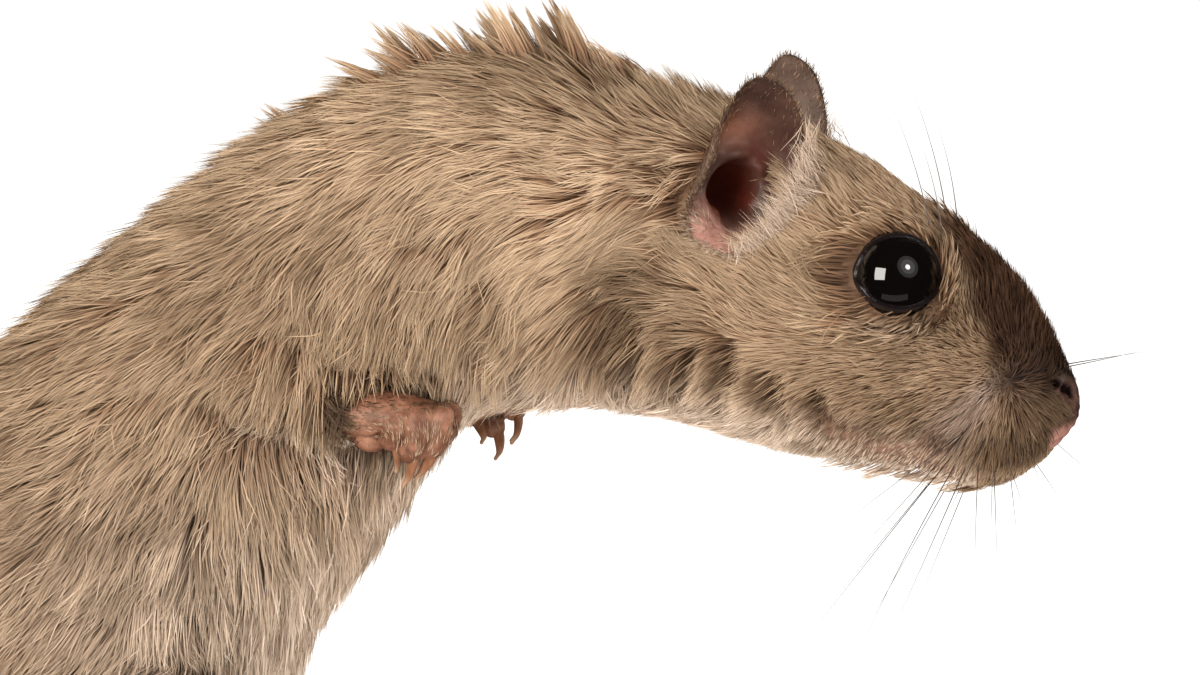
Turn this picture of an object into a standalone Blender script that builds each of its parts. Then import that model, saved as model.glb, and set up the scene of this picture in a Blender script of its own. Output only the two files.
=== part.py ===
"""A life-size gerbil, sitting up on its hind feet with the forepaws drawn up under the chest.

The animal looks along +X, its left side is +Y and it stands on the plane z = 0. Lengths are in
millimetres and are turned into metres where a mesh is made. The surface is that of the coat, out
to the tips of the hair. Neighbouring nodes keep GAP between them.
"""

import math
import random

import bmesh
import bpy
from mathutils import Matrix, Vector
from mathutils.bvhtree import BVHTree

MM = 0.001
GAP = 0.3
RIGHT, LEFT = -1, 1
SIDES = {"right": RIGHT, "left": LEFT}

# Sections of the trunk, from the rump to the tip of the nose: the dorsal point (x, z), the ventral
# point (x, z), the half width, and how far the widest level lies below the middle, as a share.
SECTIONS = (
    (-3.1, 14.5, 3.4, 4.5, 7.5, 0.05),  # rump, over the root of the tail
    (-4.1, 22.0, 11.5, 3.2, 14.0, 0.08),
    (-1.4, 31.5, 21.1, 4.6, 17.0, 0.10),  # haunch
    (4.0, 39.6, 29.2, 9.5, 17.8, 0.10),
    (10.0, 45.5, 34.9, 17.0, 17.6, 0.10),  # belly
    (15.8, 50.0, 38.5, 24.8, 16.8, 0.10),
    (22.1, 55.8, 41.5, 29.5, 15.8, 0.08),  # ribs
    (28.2, 60.4, 44.2, 33.0, 14.9, 0.06),
    (34.7, 65.0, 46.3, 36.5, 14.2, 0.05),  # chest
    (41.8, 69.0, 48.3, 39.4, 13.7, 0.05),  # withers
    (49.4, 71.3, 51.0, 42.2, 13.1, 0.06),
    (56.5, 71.8, 55.1, 43.5, 12.4, 0.08),  # neck
    (63.2, 69.8, 60.0, 43.6, 12.0, 0.10),
    (68.9, 68.2, 65.0, 43.4, 12.0, 0.13),  # nape
    (73.9, 66.9, 69.9, 42.4, 12.0, 0.16),  # ears
    (78.5, 65.2, 74.1, 41.3, 11.7, 0.20),  # cheeks
    (82.5, 63.0, 78.2, 40.4, 11.0, 0.22),  # eyes
    (86.1, 60.5, 82.0, 39.8, 9.8, 0.22),
    (89.3, 57.8, 85.2, 39.3, 8.3, 0.22),  # bridge of the nose
    (92.1, 54.9, 88.1, 38.5, 7.0, 0.22),
    (94.1, 51.8, 91.1, 38.6, 5.7, 0.18),  # whisker pads
    (95.6, 48.9, 93.8, 40.0, 4.3, 0.08),
    (96.6, 47.5, 95.6, 41.7, 3.1, 0.0),  # rim of the nose
    (97.1, 46.3, 96.7, 43.0, 1.7, 0.0),
)
RUMP_TIP = (-3.4, 8.6)
NOSE_TIP = (97.3, 44.7)
SQUARENESS = 2.25  # of a section: 2 is an ellipse
END_ROUNDING = 0.7  # of the ring that rounds the end of a tube
TORSO_END = 11.4
HEAD_START = 13.1
TRUNK_SIDES = 28
HEAD_SIDES = 32
NECK_STEP = 5.7  # from one section of the neck to the next

EYE = Vector((84.0, 7.0, 55.2))
EYE_RADIUS = 3.5
LID_ACROSS, LID_UP, LID_THICK = 3.6, 3.25, 0.5
GAZE = Vector((0.32, 0.9, 0.29))

# Bumps (positive) and hollows (negative) of the head: place, spread along x, y and z, and height.
HEAD_RELIEF = (
    ((88.4, 6.5, 55.6), (2.6, 4.0, 3.4), 1.1),  # rim of bone before the eye
    ((80.2, 9.5, 55.4), (3.2, 4.0, 4.0), -0.6),  # hollow behind the eye
    ((84.6, 6.5, 59.6), (3.2, 3.0, 1.6), 0.5),  # brow
    ((91.4, 4.2, 42.8), (3.0, 3.2, 3.2), 1.0),  # whisker pad
    ((87.0, 6.6, 42.2), (1.2, 3.0, 1.9), -0.7),  # corner of the mouth
    ((89.6, 6.6, 50.0), (2.6, 3.0, 2.6), -0.6),  # hollow before the eye
    ((77.5, 10.5, 47.5), (5.0, 5.0, 4.5), 0.6),  # cheek
    ((96.0, 2.1, 46.6), (1.3, 1.1, 1.2), 0.45),  # wing of the nose
    ((95.6, 0.0, 42.6), (2.6, 0.7, 2.2), -0.5),  # groove below the nose
    ((92.0, 0.0, 38.6), (4.2, 1.3, 2.2), -1.5),  # cleft between the pads
)
JAW_PATH = ((72.0, 0, 46.0), (80.0, 0, 43.2), (87.0, 0, 41.2), (90.6, 0, 40.8), (92.0, 0, 41.0))
JAW_RADII = ((4.0, 2.6), (4.4, 2.8), (3.4, 2.2), (2.4, 1.7), (1.0, 0.8))
# The line of the mouth from its corner to the middle of the lip: section, and degrees from the back.
MOUTH = (
    (19.4, 108), (19.4, 120), (19.7, 133), (20.2, 145),
    (20.8, 155), (21.4, 165), (21.8, 173), (21.9, 180),
)
MOUTH_WIDTH = 0.4
NOSTRIL = Vector((96.5, 1.75, 46.0))
NOSTRIL_RADII, NOSTRIL_PITCH = (0.8, 0.4, 0.55), math.radians(35)

EAR_ROOT = Vector((72.7, 9.5, 60.2))
EAR_TIP = Vector((74.4, 10.0, 70.6))
EAR_HALF_WIDTH = 3.75
EAR_DEPTH = 2.7
EAR_WALL = 0.55
EAR_WAIST = 0.42  # the height at which it is widest, as a share
EAR_TURN = math.radians(30)  # the opening faces this far forward of straight out
EAR_ROWS, EAR_COLUMNS = 7, 9

ELBOW = Vector((36.8, 12.0, 47.6))
WRIST = Vector((43.4, 10.2, 45.0))
KNUCKLES = Vector((49.2, 10.0, 45.0))
ARM_RADII = (3.8, 3.2, 2.4)
PAW_HOLLOW = Vector((47.8, 10.5, 44.6))
PAW_HOLLOW_RADII = (6.2, 4.4, 4.5)
LEFT_ARM_AHEAD, LEFT_ARM_LOWER = 2.0, 1.0
# Fingers, from the outermost to the innermost: where each leaves the knuckles, along x and across,
# and how far it curls down.
FINGERS = ((-2.9, 0.9, 0.65), (-0.8, 1.3, 1.0), (1.3, 0.9, 0.9), (1.6, -0.8, 0.75))
FINGER_BENDS = {
    RIGHT: ((0.0, -0.7, 0.4), (0.3, 0.5, 0.1), (0.35, 0.9, -1.4), (0.05, 0.7, -2.5)),
    LEFT: ((0.0, -0.7, 0.4), (0.2, 0.5, 0.2), (0.6, 0.9, -1.4), (0.9, 0.7, -2.5)),
}
# How far the fingers come together along their length, as a share of their spread.
FINGERS_DRAWN_IN = {RIGHT: (0.0, 0.05, 0.15, 0.3), LEFT: (0.0, 0.0, 0.1, 0.2)}
FIRST_RAISED_FINGER, FINGER_RISE = 2, 1.1  # on the left, where the front fingers are raised
FINGER_RADIUS = 0.95
FORE_CLAW, FORE_CLAW_RADIUS = 2.3, 0.5
CLAW_BACK = {RIGHT: -0.3, LEFT: -0.5}  # how far a fore claw bends back, as a share of its length

KNEE = Vector((31.4, 13.6, 15.0))
HEEL = Vector((12.6, 12.4, 2.4))
TOE_BASE = Vector((33.0, 13.3, 1.6))
THIGH_CENTRE = Vector((21.4, 12.0, 16.6))
THIGH_RADII = (16.0, 7.6, 13.2)
THIGH_PITCH = math.radians(12)
SHANK_RADII = (6.0, 5.8, 5.0, 3.8, 2.8)
# Toes, innermost first: how far back and across they begin, their length and how far they spread.
TOES = (
    (-5.0, -1.9, 4.4, -14),
    (0.0, -1.7, 8.2, -7),
    (0.4, -0.3, 9.2, 0),
    (0.0, 1.2, 8.4, 7),
    (-3.4, 2.0, 5.4, 15),
)
TOE_RADIUS = 1.0
HIND_CLAW, HIND_CLAW_RADIUS = 2.6, 0.45
CLAW_CLEARANCE = 0.15  # between a hind claw and the floor

TAIL_PATH = (
    (3.5, 0.0, 10.0),
    (-4.5, 0.0, 6.6),
    (-12.0, 0.6, 3.7),
    (-22.0, 2.2, 2.7),
    (-36.0, 5.2, 2.4),
    (-52.0, 7.6, 2.3),
    (-68.0, 7.2, 2.2),
    (-82.0, 4.0, 2.1),
    (-94.0, -0.6, 1.7),
)
TAIL_RADII = (3.9, 3.5, 2.9, 2.6, 2.4, 2.3, 2.2, 1.9, 0.9)
TAIL_CUTS = (3.4, 5.4)
TAIL_SIDES = 12
TAIL_STEP = 15.0  # from one point of the path to the next
BRUSH_START, BRUSH_LOCKS, BRUSH_LOCK = 5.9, 24, 11.5
BRUSH_LIMIT, BRUSH_OVERHANG = -93.8, 3.4  # a lock reaches this far past the limit
BRUSH_WIDTH, BRUSH_THICK = 2.6, 1.1

# Tufts that stand up along the withers: rows from front to back, and tufts in a row.
TUFT_ROWS, TUFTS_IN_ROW = 10, 4
TUFT_FRONT, TUFT_BACK, TUFT_REACH = 58.0, 34.0, 5.4
TUFT_LENGTH, TUFT_WIDTH, TUFT_THICK = 6.2, 4.6, 1.7
TUFTS_FROM, TUFTS_TO = 20.0, 53.15  # the stretch of the torso that they grow on
SKY = 90.0  # higher than the animal


def spline(rows, t):
    """A point on the Catmull-Rom curve through rows, where t counts the rows."""
    last = len(rows) - 1
    i = min(max(int(math.floor(t)), 0), last - 1)
    f = t - i
    a, b, c, d = (rows[min(max(k, 0), last)] for k in (i - 1, i, i + 1, i + 2))
    return [
        0.5 * (2 * q + (r - p) * f + (2 * p - 5 * q + 4 * r - s) * f * f + (3 * q - p - 3 * r + s) * f**3)
        for p, q, r, s in zip(a, b, c, d)
    ]


def relief(point):
    """How far the bumps and hollows of the head lift a point of its surface."""
    lift = 0.0
    for place, spread, height in HEAD_RELIEF:
        offset = (point.x - place[0], abs(point.y) - place[1], point.z - place[2])
        lift += height * math.exp(-sum((o / s) ** 2 for o, s in zip(offset, spread)))
    return lift


def trunk_point(t, angle, grow=0.0):
    """A point of the coat at section t; the angle runs from the back over the left side."""
    dx, dz, vx, vz, half_width, sag = spline(SECTIONS, t)
    back, belly = Vector((dx, 0, dz)), Vector((vx, 0, vz))
    half = (back - belly) / 2
    up = half.normalized()
    depth = half.length + grow
    high, wide = (math.copysign(abs(f) ** (2 / SQUARENESS), f) for f in (math.cos(angle), math.sin(angle)))
    rise = depth * (high - sag * math.sin(angle) ** 2)
    point = (back + belly) / 2 + up * rise + Vector((0, (half_width + grow) * wide, 0))
    outward = point - (back + belly) / 2
    return point + outward.normalized() * relief(point)


def trunk_ring(t, sides, grow=0.0):
    return [trunk_point(t, 2 * math.pi * k / sides, grow) for k in range(sides)]


def new_object(name, points, faces):
    mesh = bpy.data.meshes.new(name)
    mesh.from_pydata([p * MM for p in points], [], faces)
    shape = bmesh.new()
    shape.from_mesh(mesh)
    bmesh.ops.recalc_face_normals(shape, faces=shape.faces)
    shape.to_mesh(mesh)
    shape.free()
    made = bpy.data.objects.new(name, mesh)
    bpy.context.scene.collection.objects.link(made)
    return made


def skin_rings(name, rings, first=None, last=None):
    """A closed shape over rings of equal count; first and last are poles, or flat caps if None."""
    count = len(rings[0])
    points = [p for ring in rings for p in ring]
    faces = []
    for i in range(len(rings) - 1):
        a, b = i * count, (i + 1) * count
        faces += [(a + k, a + (k + 1) % count, b + (k + 1) % count, b + k) for k in range(count)]
    for start, pole in ((0, first), ((len(rings) - 1) * count, last)):
        if pole is None:
            faces.append(tuple(range(start, start + count)))
        else:
            points.append(Vector(pole))
            faces += [(start + k, start + (k + 1) % count, len(points) - 1) for k in range(count)]
    return new_object(name, points, faces)


def trunk_piece(name, start, end, steps, sides, first=None, last=None, grow=0.0):
    rings = [trunk_ring(start + (end - start) * i / steps, sides, grow) for i in range(steps + 1)]
    return skin_rings(name, rings, first, last)


def torso_form(name, grow=0.0):
    rump = Vector((RUMP_TIP[0] - grow, 0, RUMP_TIP[1]))
    return trunk_piece(name, 0, TORSO_END, 22, TRUNK_SIDES, rump, None, grow)


def tube(name, path, radii, sides=8, steps=8, start=0.0, end=None, grow=0.0, round_ends=(True, True)):
    """A round or oval tube on a smooth path; a radius is one number, or across and upright."""
    path = [tuple(p) for p in path]
    pairs = [r if isinstance(r, tuple) else (r, r) for r in radii]
    end = len(path) - 1 if end is None else end
    rings, poles = [], [None, None]
    across = Vector((0, 1, 0))
    for i in range(steps + 1):
        t = start + (end - start) * i / steps
        centre = Vector(spline(path, t))
        ahead = (Vector(spline(path, t + 0.01)) - Vector(spline(path, t - 0.01))).normalized()
        if i == 0:
            level = Vector((0, 0, 1)).cross(ahead)
            across = level if level.length > 0.05 else Vector((0, 1, 0))
        across = (across - ahead * across.dot(ahead)).normalized()
        upright = ahead.cross(across)
        wide, tall = (r + grow for r in spline(pairs, t))
        ring = [
            centre + across * wide * math.cos(a) + upright * tall * math.sin(a)
            for a in (2 * math.pi * (k + 0.5) / sides for k in range(sides))
        ]
        rings.append(ring)
        radius = min(wide, tall)
        if i == 0 and round_ends[0]:
            rings.insert(0, [centre + (p - centre - ahead * radius) * END_ROUNDING for p in ring])
            poles[0] = centre - ahead * radius
        if i == steps and round_ends[1]:
            rings.append([centre + (p - centre + ahead * radius) * END_ROUNDING for p in ring])
            poles[1] = centre + ahead * radius
    return skin_rings(name, rings, poles[0], poles[1])


def ball(name, centre, radii, sides=16, rows=8, pitch=0.0, grow=0.0, yaw=0.0):
    """An ellipsoid, its poles along the second axis, tipped nose up by pitch and turned by yaw."""
    turn = Matrix.Rotation(yaw, 3, "Z") @ Matrix.Rotation(-pitch, 3, "Y")
    a, b, c = (r + grow for r in radii)
    rings = []
    for i in range(1, rows):
        lie = math.pi * i / rows
        rings.append([
            Vector(centre) + turn @ Vector((
                a * math.sin(lie) * math.cos(2 * math.pi * k / sides),
                b * math.cos(lie),
                c * math.sin(lie) * math.sin(2 * math.pi * k / sides),
            ))
            for k in range(sides)
        ])
    pole = turn @ Vector((0, b, 0))
    return skin_rings(name, rings, Vector(centre) + pole, Vector(centre) - pole)


def lock(name, root, along, outward, length, width, thick, droop, roll=0.0):
    """A flat, tapered lock of hair that bends towards droop as it runs out from its root."""
    outward = Matrix.Rotation(roll, 3, along) @ outward
    across = along.cross(outward).normalized()
    rings = []
    for share, breadth in ((0.0, 0.75), (0.4, 1.0), (0.75, 0.55)):
        spot = root + along * length * share + droop * length * share**2
        over = outward * thick * breadth / 2
        beside = across * width * breadth / 2
        rings.append([spot + beside, spot + over, spot - beside, spot - over])
    return skin_rings(name, rings, None, root + along * length + droop * length)


def keep_largest(made):
    """Drops loose scraps and inner surfaces that a Boolean leaves."""
    shape = bmesh.new()
    shape.from_mesh(made.data)
    left, groups = set(shape.faces), []
    while left:
        front = [left.pop()]
        group = list(front)
        while front:
            near = {f for e in front.pop().edges for f in e.link_faces} & left
            left -= near
            front += near
            group += near
        groups.append(group)
    groups.sort(key=lambda g: sum(f.calc_area() for f in g))
    bmesh.ops.delete(shape, geom=[f for g in groups[:-1] for f in g], context="FACES")
    shape.to_mesh(made.data)
    shape.free()


def combine(made, others, operation, solver="EXACT"):
    """Joins the others to made, or cuts them from it, and removes them."""
    group = bpy.data.collections.new("combined")
    bpy.context.scene.collection.children.link(group)
    for other in others:
        group.objects.link(other)
    modifier = made.modifiers.new("combine", "BOOLEAN")
    modifier.operation = operation
    modifier.operand_type = "COLLECTION"
    modifier.collection = group
    modifier.solver = solver
    graph = bpy.context.evaluated_depsgraph_get()
    made.data = bpy.data.meshes.new_from_object(made.evaluated_get(graph))
    made.modifiers.clear()
    for other in others:
        bpy.data.objects.remove(other)
    bpy.data.collections.remove(group)
    keep_largest(made)
    return made


def flatten_on_floor(made):
    """Presses what reaches below the floor into a flat on it."""
    for vertex in made.data.vertices:
        vertex.co.z = max(vertex.co.z, 0.0)
    return made


def tree_of(made):
    return BVHTree.FromPolygons(
        [v.co / MM for v in made.data.vertices], [tuple(p.vertices) for p in made.data.polygons]
    )


def finish(made, name, colour, roughness):
    made.name = name
    material = bpy.data.materials.get(colour) or bpy.data.materials.new(colour)
    material.use_nodes = True
    shader = material.node_tree.nodes["Principled BSDF"]
    shader.inputs["Base Color"].default_value = (*COLOURS[colour], 1)
    shader.inputs["Roughness"].default_value = roughness
    made.data.materials.clear()
    made.data.materials.append(material)
    made.data.shade_smooth()
    made.data.set_sharp_from_angle(angle=math.radians(50))
    return made


COLOURS = {
    "coat": (0.40, 0.25, 0.16),
    "ear skin": (0.30, 0.15, 0.11),
    "paw skin": (0.45, 0.24, 0.16),
    "claw horn": (0.42, 0.22, 0.13),
    "eye": (0.01, 0.008, 0.007),
}


def thigh_and_shank(side, grow=0.0):
    """The thigh, a flat oval on the flank, and the shank folded back under it to the heel."""
    mirror = Vector((1, side, 1))
    thigh = ball("thigh", THIGH_CENTRE * mirror, THIGH_RADII, 22, 11, THIGH_PITCH, grow)
    path = [KNEE.lerp(HEEL + Vector((-0.6, 0, 4.0)), i / 4) * mirror for i in range(5)]
    shank = tube("shank", path, SHANK_RADII, 12, 6, grow=grow)
    return [thigh, shank]


def toe_frame(side, toe):
    """Where a toe begins and ends."""
    back, across, length, spread = TOES[toe]
    start = TOE_BASE + Vector((back, across, -0.35))
    way = Vector((math.cos(math.radians(spread)), math.sin(math.radians(spread)), 0))
    mirror = Vector((1, side, 1))
    return start * mirror, (start + way * length + Vector((0, 0, -0.25))) * mirror


def hind_sole(side, grow=0.0):
    mirror = Vector((1, side, 1))
    path = [p * mirror for p in (
        HEEL, HEEL + Vector((7, 0.3, -0.35)), HEEL + Vector((14, 0.6, -0.7)), TOE_BASE,
        TOE_BASE + Vector((2.5, 0, -0.4)),
    )]
    return tube("sole", path, ((2.5, 2.7), (2.4, 2.5), (2.6, 2.3), (3.1, 1.8), (2.6, 1.1)), 12, 7, grow=grow)


def hind_foot(side):
    """The long flat foot, from the heel to the tips of its five toes."""
    pieces = [hind_sole(side)]
    for toe in range(len(TOES)):
        start, end = toe_frame(side, toe)
        middle = start.lerp(end, 0.5) + Vector((0, 0, 0.35))
        radii = (TOE_RADIUS, TOE_RADIUS, TOE_RADIUS * 0.9)
        pieces.append(tube("toe", (start, middle, end), radii, 7, 3))
    return pieces


def ahead_of(side):
    """The left arm reaches further forward and down than the right."""
    return Vector((LEFT_ARM_AHEAD, 0, -LEFT_ARM_LOWER)) if side == LEFT else Vector((0, 0, 0))


def finger_path(side, finger):
    """A bent finger: out over the knuckle, then down as if over a rim."""
    along, across, curl = FINGERS[finger]
    raised = side == LEFT and finger >= FIRST_RAISED_FINGER
    start = KNUCKLES + Vector((along, across, FINGER_RISE if raised else 0))
    path = []
    for (x, y, z), drawn in zip(FINGER_BENDS[side], FINGERS_DRAWN_IN[side]):
        bend = Vector((x - along * drawn, y, z if z > 0 else z * curl))
        path.append((start + bend) * Vector((1, side, 1)) + ahead_of(side))
    return path


def forearm(side, grow=0.0):
    """The forearm; the upper arm lies under the coat of the trunk."""
    elbow, wrist = (p * Vector((1, side, 1)) + ahead_of(side) for p in (ELBOW, WRIST))
    return tube("forearm", (elbow, elbow.lerp(wrist, 0.5), wrist), ARM_RADII, 12, 5, grow=grow)


def forepaw(side, grow=0.0):
    """The hand: a thick palm, four bent fingers and the stub of a thumb."""
    mirror = Vector((1, side, 1))
    middle = (WRIST + Vector((0.8, 0, 0)), WRIST.lerp(KNUCKLES, 0.6), KNUCKLES)
    path = [p * mirror + ahead_of(side) for p in middle]
    pieces = [tube("palm", path, ((2.1, 1.9), (2.3, 2.1), (1.9, 1.5)), 10, 5, grow=grow)]
    for finger in range(len(FINGERS)):
        radii = (FINGER_RADIUS * 0.9, FINGER_RADIUS * 1.05, FINGER_RADIUS, FINGER_RADIUS * 0.85)
        pieces.append(tube("finger", finger_path(side, finger), radii, 7, 4, grow=grow))
    thumb = WRIST + Vector((1.9, 0.6, -1.7))
    pieces.append(ball("thumb", thumb * mirror + ahead_of(side), (1.3, 1.0, 0.9), 8, 5, grow=grow))
    return pieces


def claw(name, tip_centre, tip_radius, out, down, length, base_radius):
    """A curved, pointed claw whose root is hollowed to sit on the end of its toe."""
    bends = ((0.05, 0), (0.4, 0.06), (0.78, 0.3), (1.0, 0.7))
    path = [tip_centre + out * length * s + down * length * d for s, d in bends]
    radii = (base_radius, base_radius * 0.95, base_radius * 0.6, base_radius * 0.15)
    horn = tube(name, path, radii, 6, 3)
    return combine(horn, [ball("tip", tip_centre, (tip_radius + GAP,) * 3, 8, 5)], "DIFFERENCE")


def ear_taper(height):
    """How wide the ear is at a height, as a share: fullest at the waist, then round to the peak."""
    if height > EAR_WAIST:
        return math.sqrt(max(1 - ((height - EAR_WAIST) / (1 - EAR_WAIST)) ** 2, 0))
    return 0.8 + 0.2 * math.sin(height / EAR_WAIST * math.pi / 2)


def ear_shell(side, grow=0.0):
    """The cup of an ear: two curved sheets that are joined along the rim."""
    mirror = Vector((1, side, 1))
    up = EAR_TIP - EAR_ROOT
    across = Vector((math.cos(EAR_TURN), -math.sin(EAR_TURN), 0))
    deep = Vector((-math.sin(EAR_TURN), -math.cos(EAR_TURN), 0))

    def point(row, column, wall):
        height = 1 - (1 - row / EAR_ROWS) ** 1.6
        lie = math.pi * (column / EAR_COLUMNS - 0.5) * (1 + 0.45 * grow)
        taper = ear_taper(height)
        wide = (EAR_HALF_WIDTH + wall) * taper
        cup = (EAR_DEPTH * (1 - 0.55 * height) + wall) * max(taper, 0.05)
        spot = EAR_ROOT + up * height * (1 + wall / up.length)
        return (spot + across * wide * math.sin(lie) + deep * (cup * math.cos(lie))) * mirror

    columns = EAR_COLUMNS + 1
    points, faces = [], []
    walls = (-grow, EAR_WALL + grow)
    for wall in walls:
        points += [point(row, column, wall) for row in range(EAR_ROWS) for column in range(columns)]
    peak = len(points)
    points += [point(EAR_ROWS, EAR_COLUMNS / 2, wall) for wall in walls]
    outer = EAR_ROWS * columns
    for base, top in ((0, peak), (outer, peak + 1)):
        for row in range(EAR_ROWS - 1):
            for column in range(EAR_COLUMNS):
                a = base + row * columns + column
                faces.append((a, a + 1, a + 1 + columns, a + columns))
        last = base + (EAR_ROWS - 1) * columns
        faces += [(last + k, last + k + 1, top) for k in range(EAR_COLUMNS)]
    edge = [row * columns for row in range(EAR_ROWS)] + [peak]
    edge += [row * columns + EAR_COLUMNS for row in reversed(range(EAR_ROWS))]
    partner = [i + outer if i < peak else peak + 1 for i in edge]
    faces += [(edge[i], edge[i + 1], partner[i + 1], partner[i]) for i in range(len(edge) - 1)]
    faces += [(i, i + 1, i + 1 + outer, i + outer) for i in range(EAR_COLUMNS)]
    return new_object("shell", points, faces)


def ear_root(side, grow=0.0):
    """The fleshy root that the cup opens into."""
    spot = (EAR_ROOT + Vector((-0.5, -0.9, 0.1))) * Vector((1, side, 1))
    return ball("root", spot, (4.1, 2.9, 3.4), 14, 8, grow=grow, yaw=-side * EAR_TURN)


def ear_lobe(side, grow=0.0):
    """The small lobe before the canal."""
    spot = (EAR_ROOT + Vector((2.0, 1.0, -0.7))) * Vector((1, side, 1))
    return ball("lobe", spot, (0.9, 0.8, 1.3), 8, 6, grow=grow, yaw=-side * EAR_TURN)


def make_ear(name, side):
    """An ear with its bowl, the canal that leads inward from it and the lobe before the canal."""
    mirror = Vector((1, side, 1))
    shell = combine(ear_shell(side), [ear_root(side)], "UNION")
    spot = (EAR_ROOT + Vector((0.0, 0.2, 1.6))) * mirror
    bowl = ball("bowl", spot, (3.0, 2.4, 3.9), 14, 8, yaw=-side * EAR_TURN)
    canal = EAR_ROOT + Vector((-0.4, -0.6, -0.3))
    inward = Vector((0.1, -0.8, -0.3)).normalized()
    bore = tube("bore", [(canal + inward * d) * mirror for d in (-1.5, 0.6, 1.6)], (1.3, 1.2, 0.9), 8, 4)
    combine(shell, [bowl, bore], "DIFFERENCE")
    combine(shell, [ear_lobe(side)], "UNION")
    return finish(shell, name, "ear skin", 0.7)


def make_eye(name, side):
    """The ball of an eye, which the lids hold."""
    eye = ball(name, EYE * Vector((1, side, 1)), (EYE_RADIUS,) * 3, 16, 9)
    return finish(eye, name, "eye", 0.05)


def lid(side):
    """An almond ring of both lids round the eye."""
    mirror = Vector((1, side, 1))
    out = GAZE.normalized()
    across = Vector((0, 0, 1)).cross(out).normalized()
    up = out.cross(across)
    rings, steps = [], 20
    for i in range(steps):
        a = 2 * math.pi * i / steps
        corner = 0.45 * abs(math.cos(a)) ** 6
        spoke = across * math.cos(a) * (LID_ACROSS + corner) + up * math.sin(a) * LID_UP
        spot = EYE + out * 1.05 + spoke
        away = spoke.normalized()
        rings.append([
            (spot + away * LID_THICK * math.cos(b) + out * LID_THICK * math.sin(b)) * mirror
            for b in (2 * math.pi * k / 6 for k in range(6))
        ])
    points = [p for ring in rings for p in ring]
    faces = [
        (i * 6 + k, i * 6 + (k + 1) % 6, (i + 1) % steps * 6 + (k + 1) % 6, (i + 1) % steps * 6 + k)
        for i in range(steps)
        for k in range(6)
    ]
    return new_object("lid", points, faces)


def mouth_cutter():
    """A groove for the mouth, laid on the surface from corner to corner behind and under the pads."""
    half = [trunk_point(t, math.radians(turn)) for t, turn in MOUTH]
    other = [p * Vector((1, -1, 1)) for p in reversed(half[:-1])]
    return tube("groove", half + other, (MOUTH_WIDTH,) * (len(half) * 2 - 1), 6, 22)


def make_head():
    """The head, with lids, lips and nostrils, and pockets for the eyes and the roots of the ears."""
    nose = Vector((NOSE_TIP[0], 0, NOSE_TIP[1]))
    head = trunk_piece("head", HEAD_START, len(SECTIONS) - 1, 24, HEAD_SIDES, None, nose)
    jaw = tube("jaw", JAW_PATH, JAW_RADII, 14, 8)
    combine(head, [jaw] + [lid(side) for side in SIDES.values()], "UNION")
    cutters = [mouth_cutter()]
    for side in SIDES.values():
        mirror = Vector((1, side, 1))
        cutters.append(ball("socket", EYE * mirror, (EYE_RADIUS + GAP,) * 3, 16, 9))
        cutters += [part(side, GAP) for part in (ear_root, ear_shell, ear_lobe)]
        cutters.append(ball("nostril", NOSTRIL * mirror, NOSTRIL_RADII, 8, 6, NOSTRIL_PITCH))
    combine(head, cutters, "DIFFERENCE")
    return finish(head, "head", "coat", 0.8)


def withers_tufts(tree, chance):
    """Ruffled tufts along the top of the withers, rooted where they leave the coat."""
    tufts = []
    for row in range(TUFT_ROWS):
        x = TUFT_FRONT + (TUFT_BACK - TUFT_FRONT) * row / (TUFT_ROWS - 1)
        steep = 1 - row / (TUFT_ROWS - 1)
        for place in range(TUFTS_IN_ROW):
            share = place / (TUFTS_IN_ROW - 1) * 2 - 1
            y = TUFT_REACH * share + chance.uniform(-0.6, 0.6)
            spot = Vector((x + chance.uniform(-1.2, 1.2), y, SKY))
            lean = math.radians(24 + 30 * steep + chance.uniform(-9, 9))
            size = TUFT_LENGTH * (0.62 + 0.38 * steep) * chance.uniform(0.8, 1.1) * (1 - 0.35 * abs(share))
            hit, normal, _, _ = tree.ray_cast(spot, Vector((0, 0, -1)))
            if hit is None or not TUFTS_FROM < hit.x < TUFTS_TO:
                continue
            back = Vector((-normal.z, 0, normal.x)).normalized()
            along = (back * math.cos(lean) + normal * math.sin(lean)).normalized()
            root = hit - normal * 1.6
            droop = Vector((-0.10, 0.12 * share, -0.04 + 0.05 * steep))
            roll = chance.uniform(-1.2, 1.2)
            tufts.append(lock("tuft", root, along, normal, size + 2.0, TUFT_WIDTH, TUFT_THICK, droop, roll))
    return tufts


def make_torso():
    """The trunk from the rump to the neck, with hollows in the coat that the arms sit in."""
    torso = torso_form("torso")
    combine(torso, withers_tufts(tree_of(torso), random.Random(4)), "UNION")
    hollows = []
    for side in SIDES.values():
        spot = PAW_HOLLOW * Vector((1, side, 1)) + ahead_of(side)
        hollows += [forearm(side, GAP), ball("hollow", spot, PAW_HOLLOW_RADII, 14, 8)]
    combine(torso, hollows, "DIFFERENCE")
    return finish(torso, "torso", "coat", 0.85)


def make_neck():
    step = GAP / NECK_STEP
    neck = trunk_piece("neck", TORSO_END + step, HEAD_START - step, 5, TRUNK_SIDES)
    return finish(neck, "neck", "coat", 0.85)


def make_hind_leg(name, side):
    thigh, shank = thigh_and_shank(side)
    leg = combine(thigh, [shank], "UNION")
    combine(leg, [torso_form("trunk", GAP), hind_sole(side, GAP)], "DIFFERENCE")
    return finish(leg, name, "coat", 0.85)


def make_hind_foot(name, side):
    pieces = hind_foot(side)
    foot = combine(pieces[0], pieces[1:], "UNION")
    return finish(flatten_on_floor(foot), name, "paw skin", 0.6)


def make_arm(name, side):
    arm = combine(forearm(side), forepaw(side, GAP), "DIFFERENCE")
    return finish(arm, name, "coat", 0.85)


def make_forepaw(name, side):
    pieces = forepaw(side)
    return finish(combine(pieces[0], pieces[1:], "UNION"), name, "paw skin", 0.6)


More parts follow.
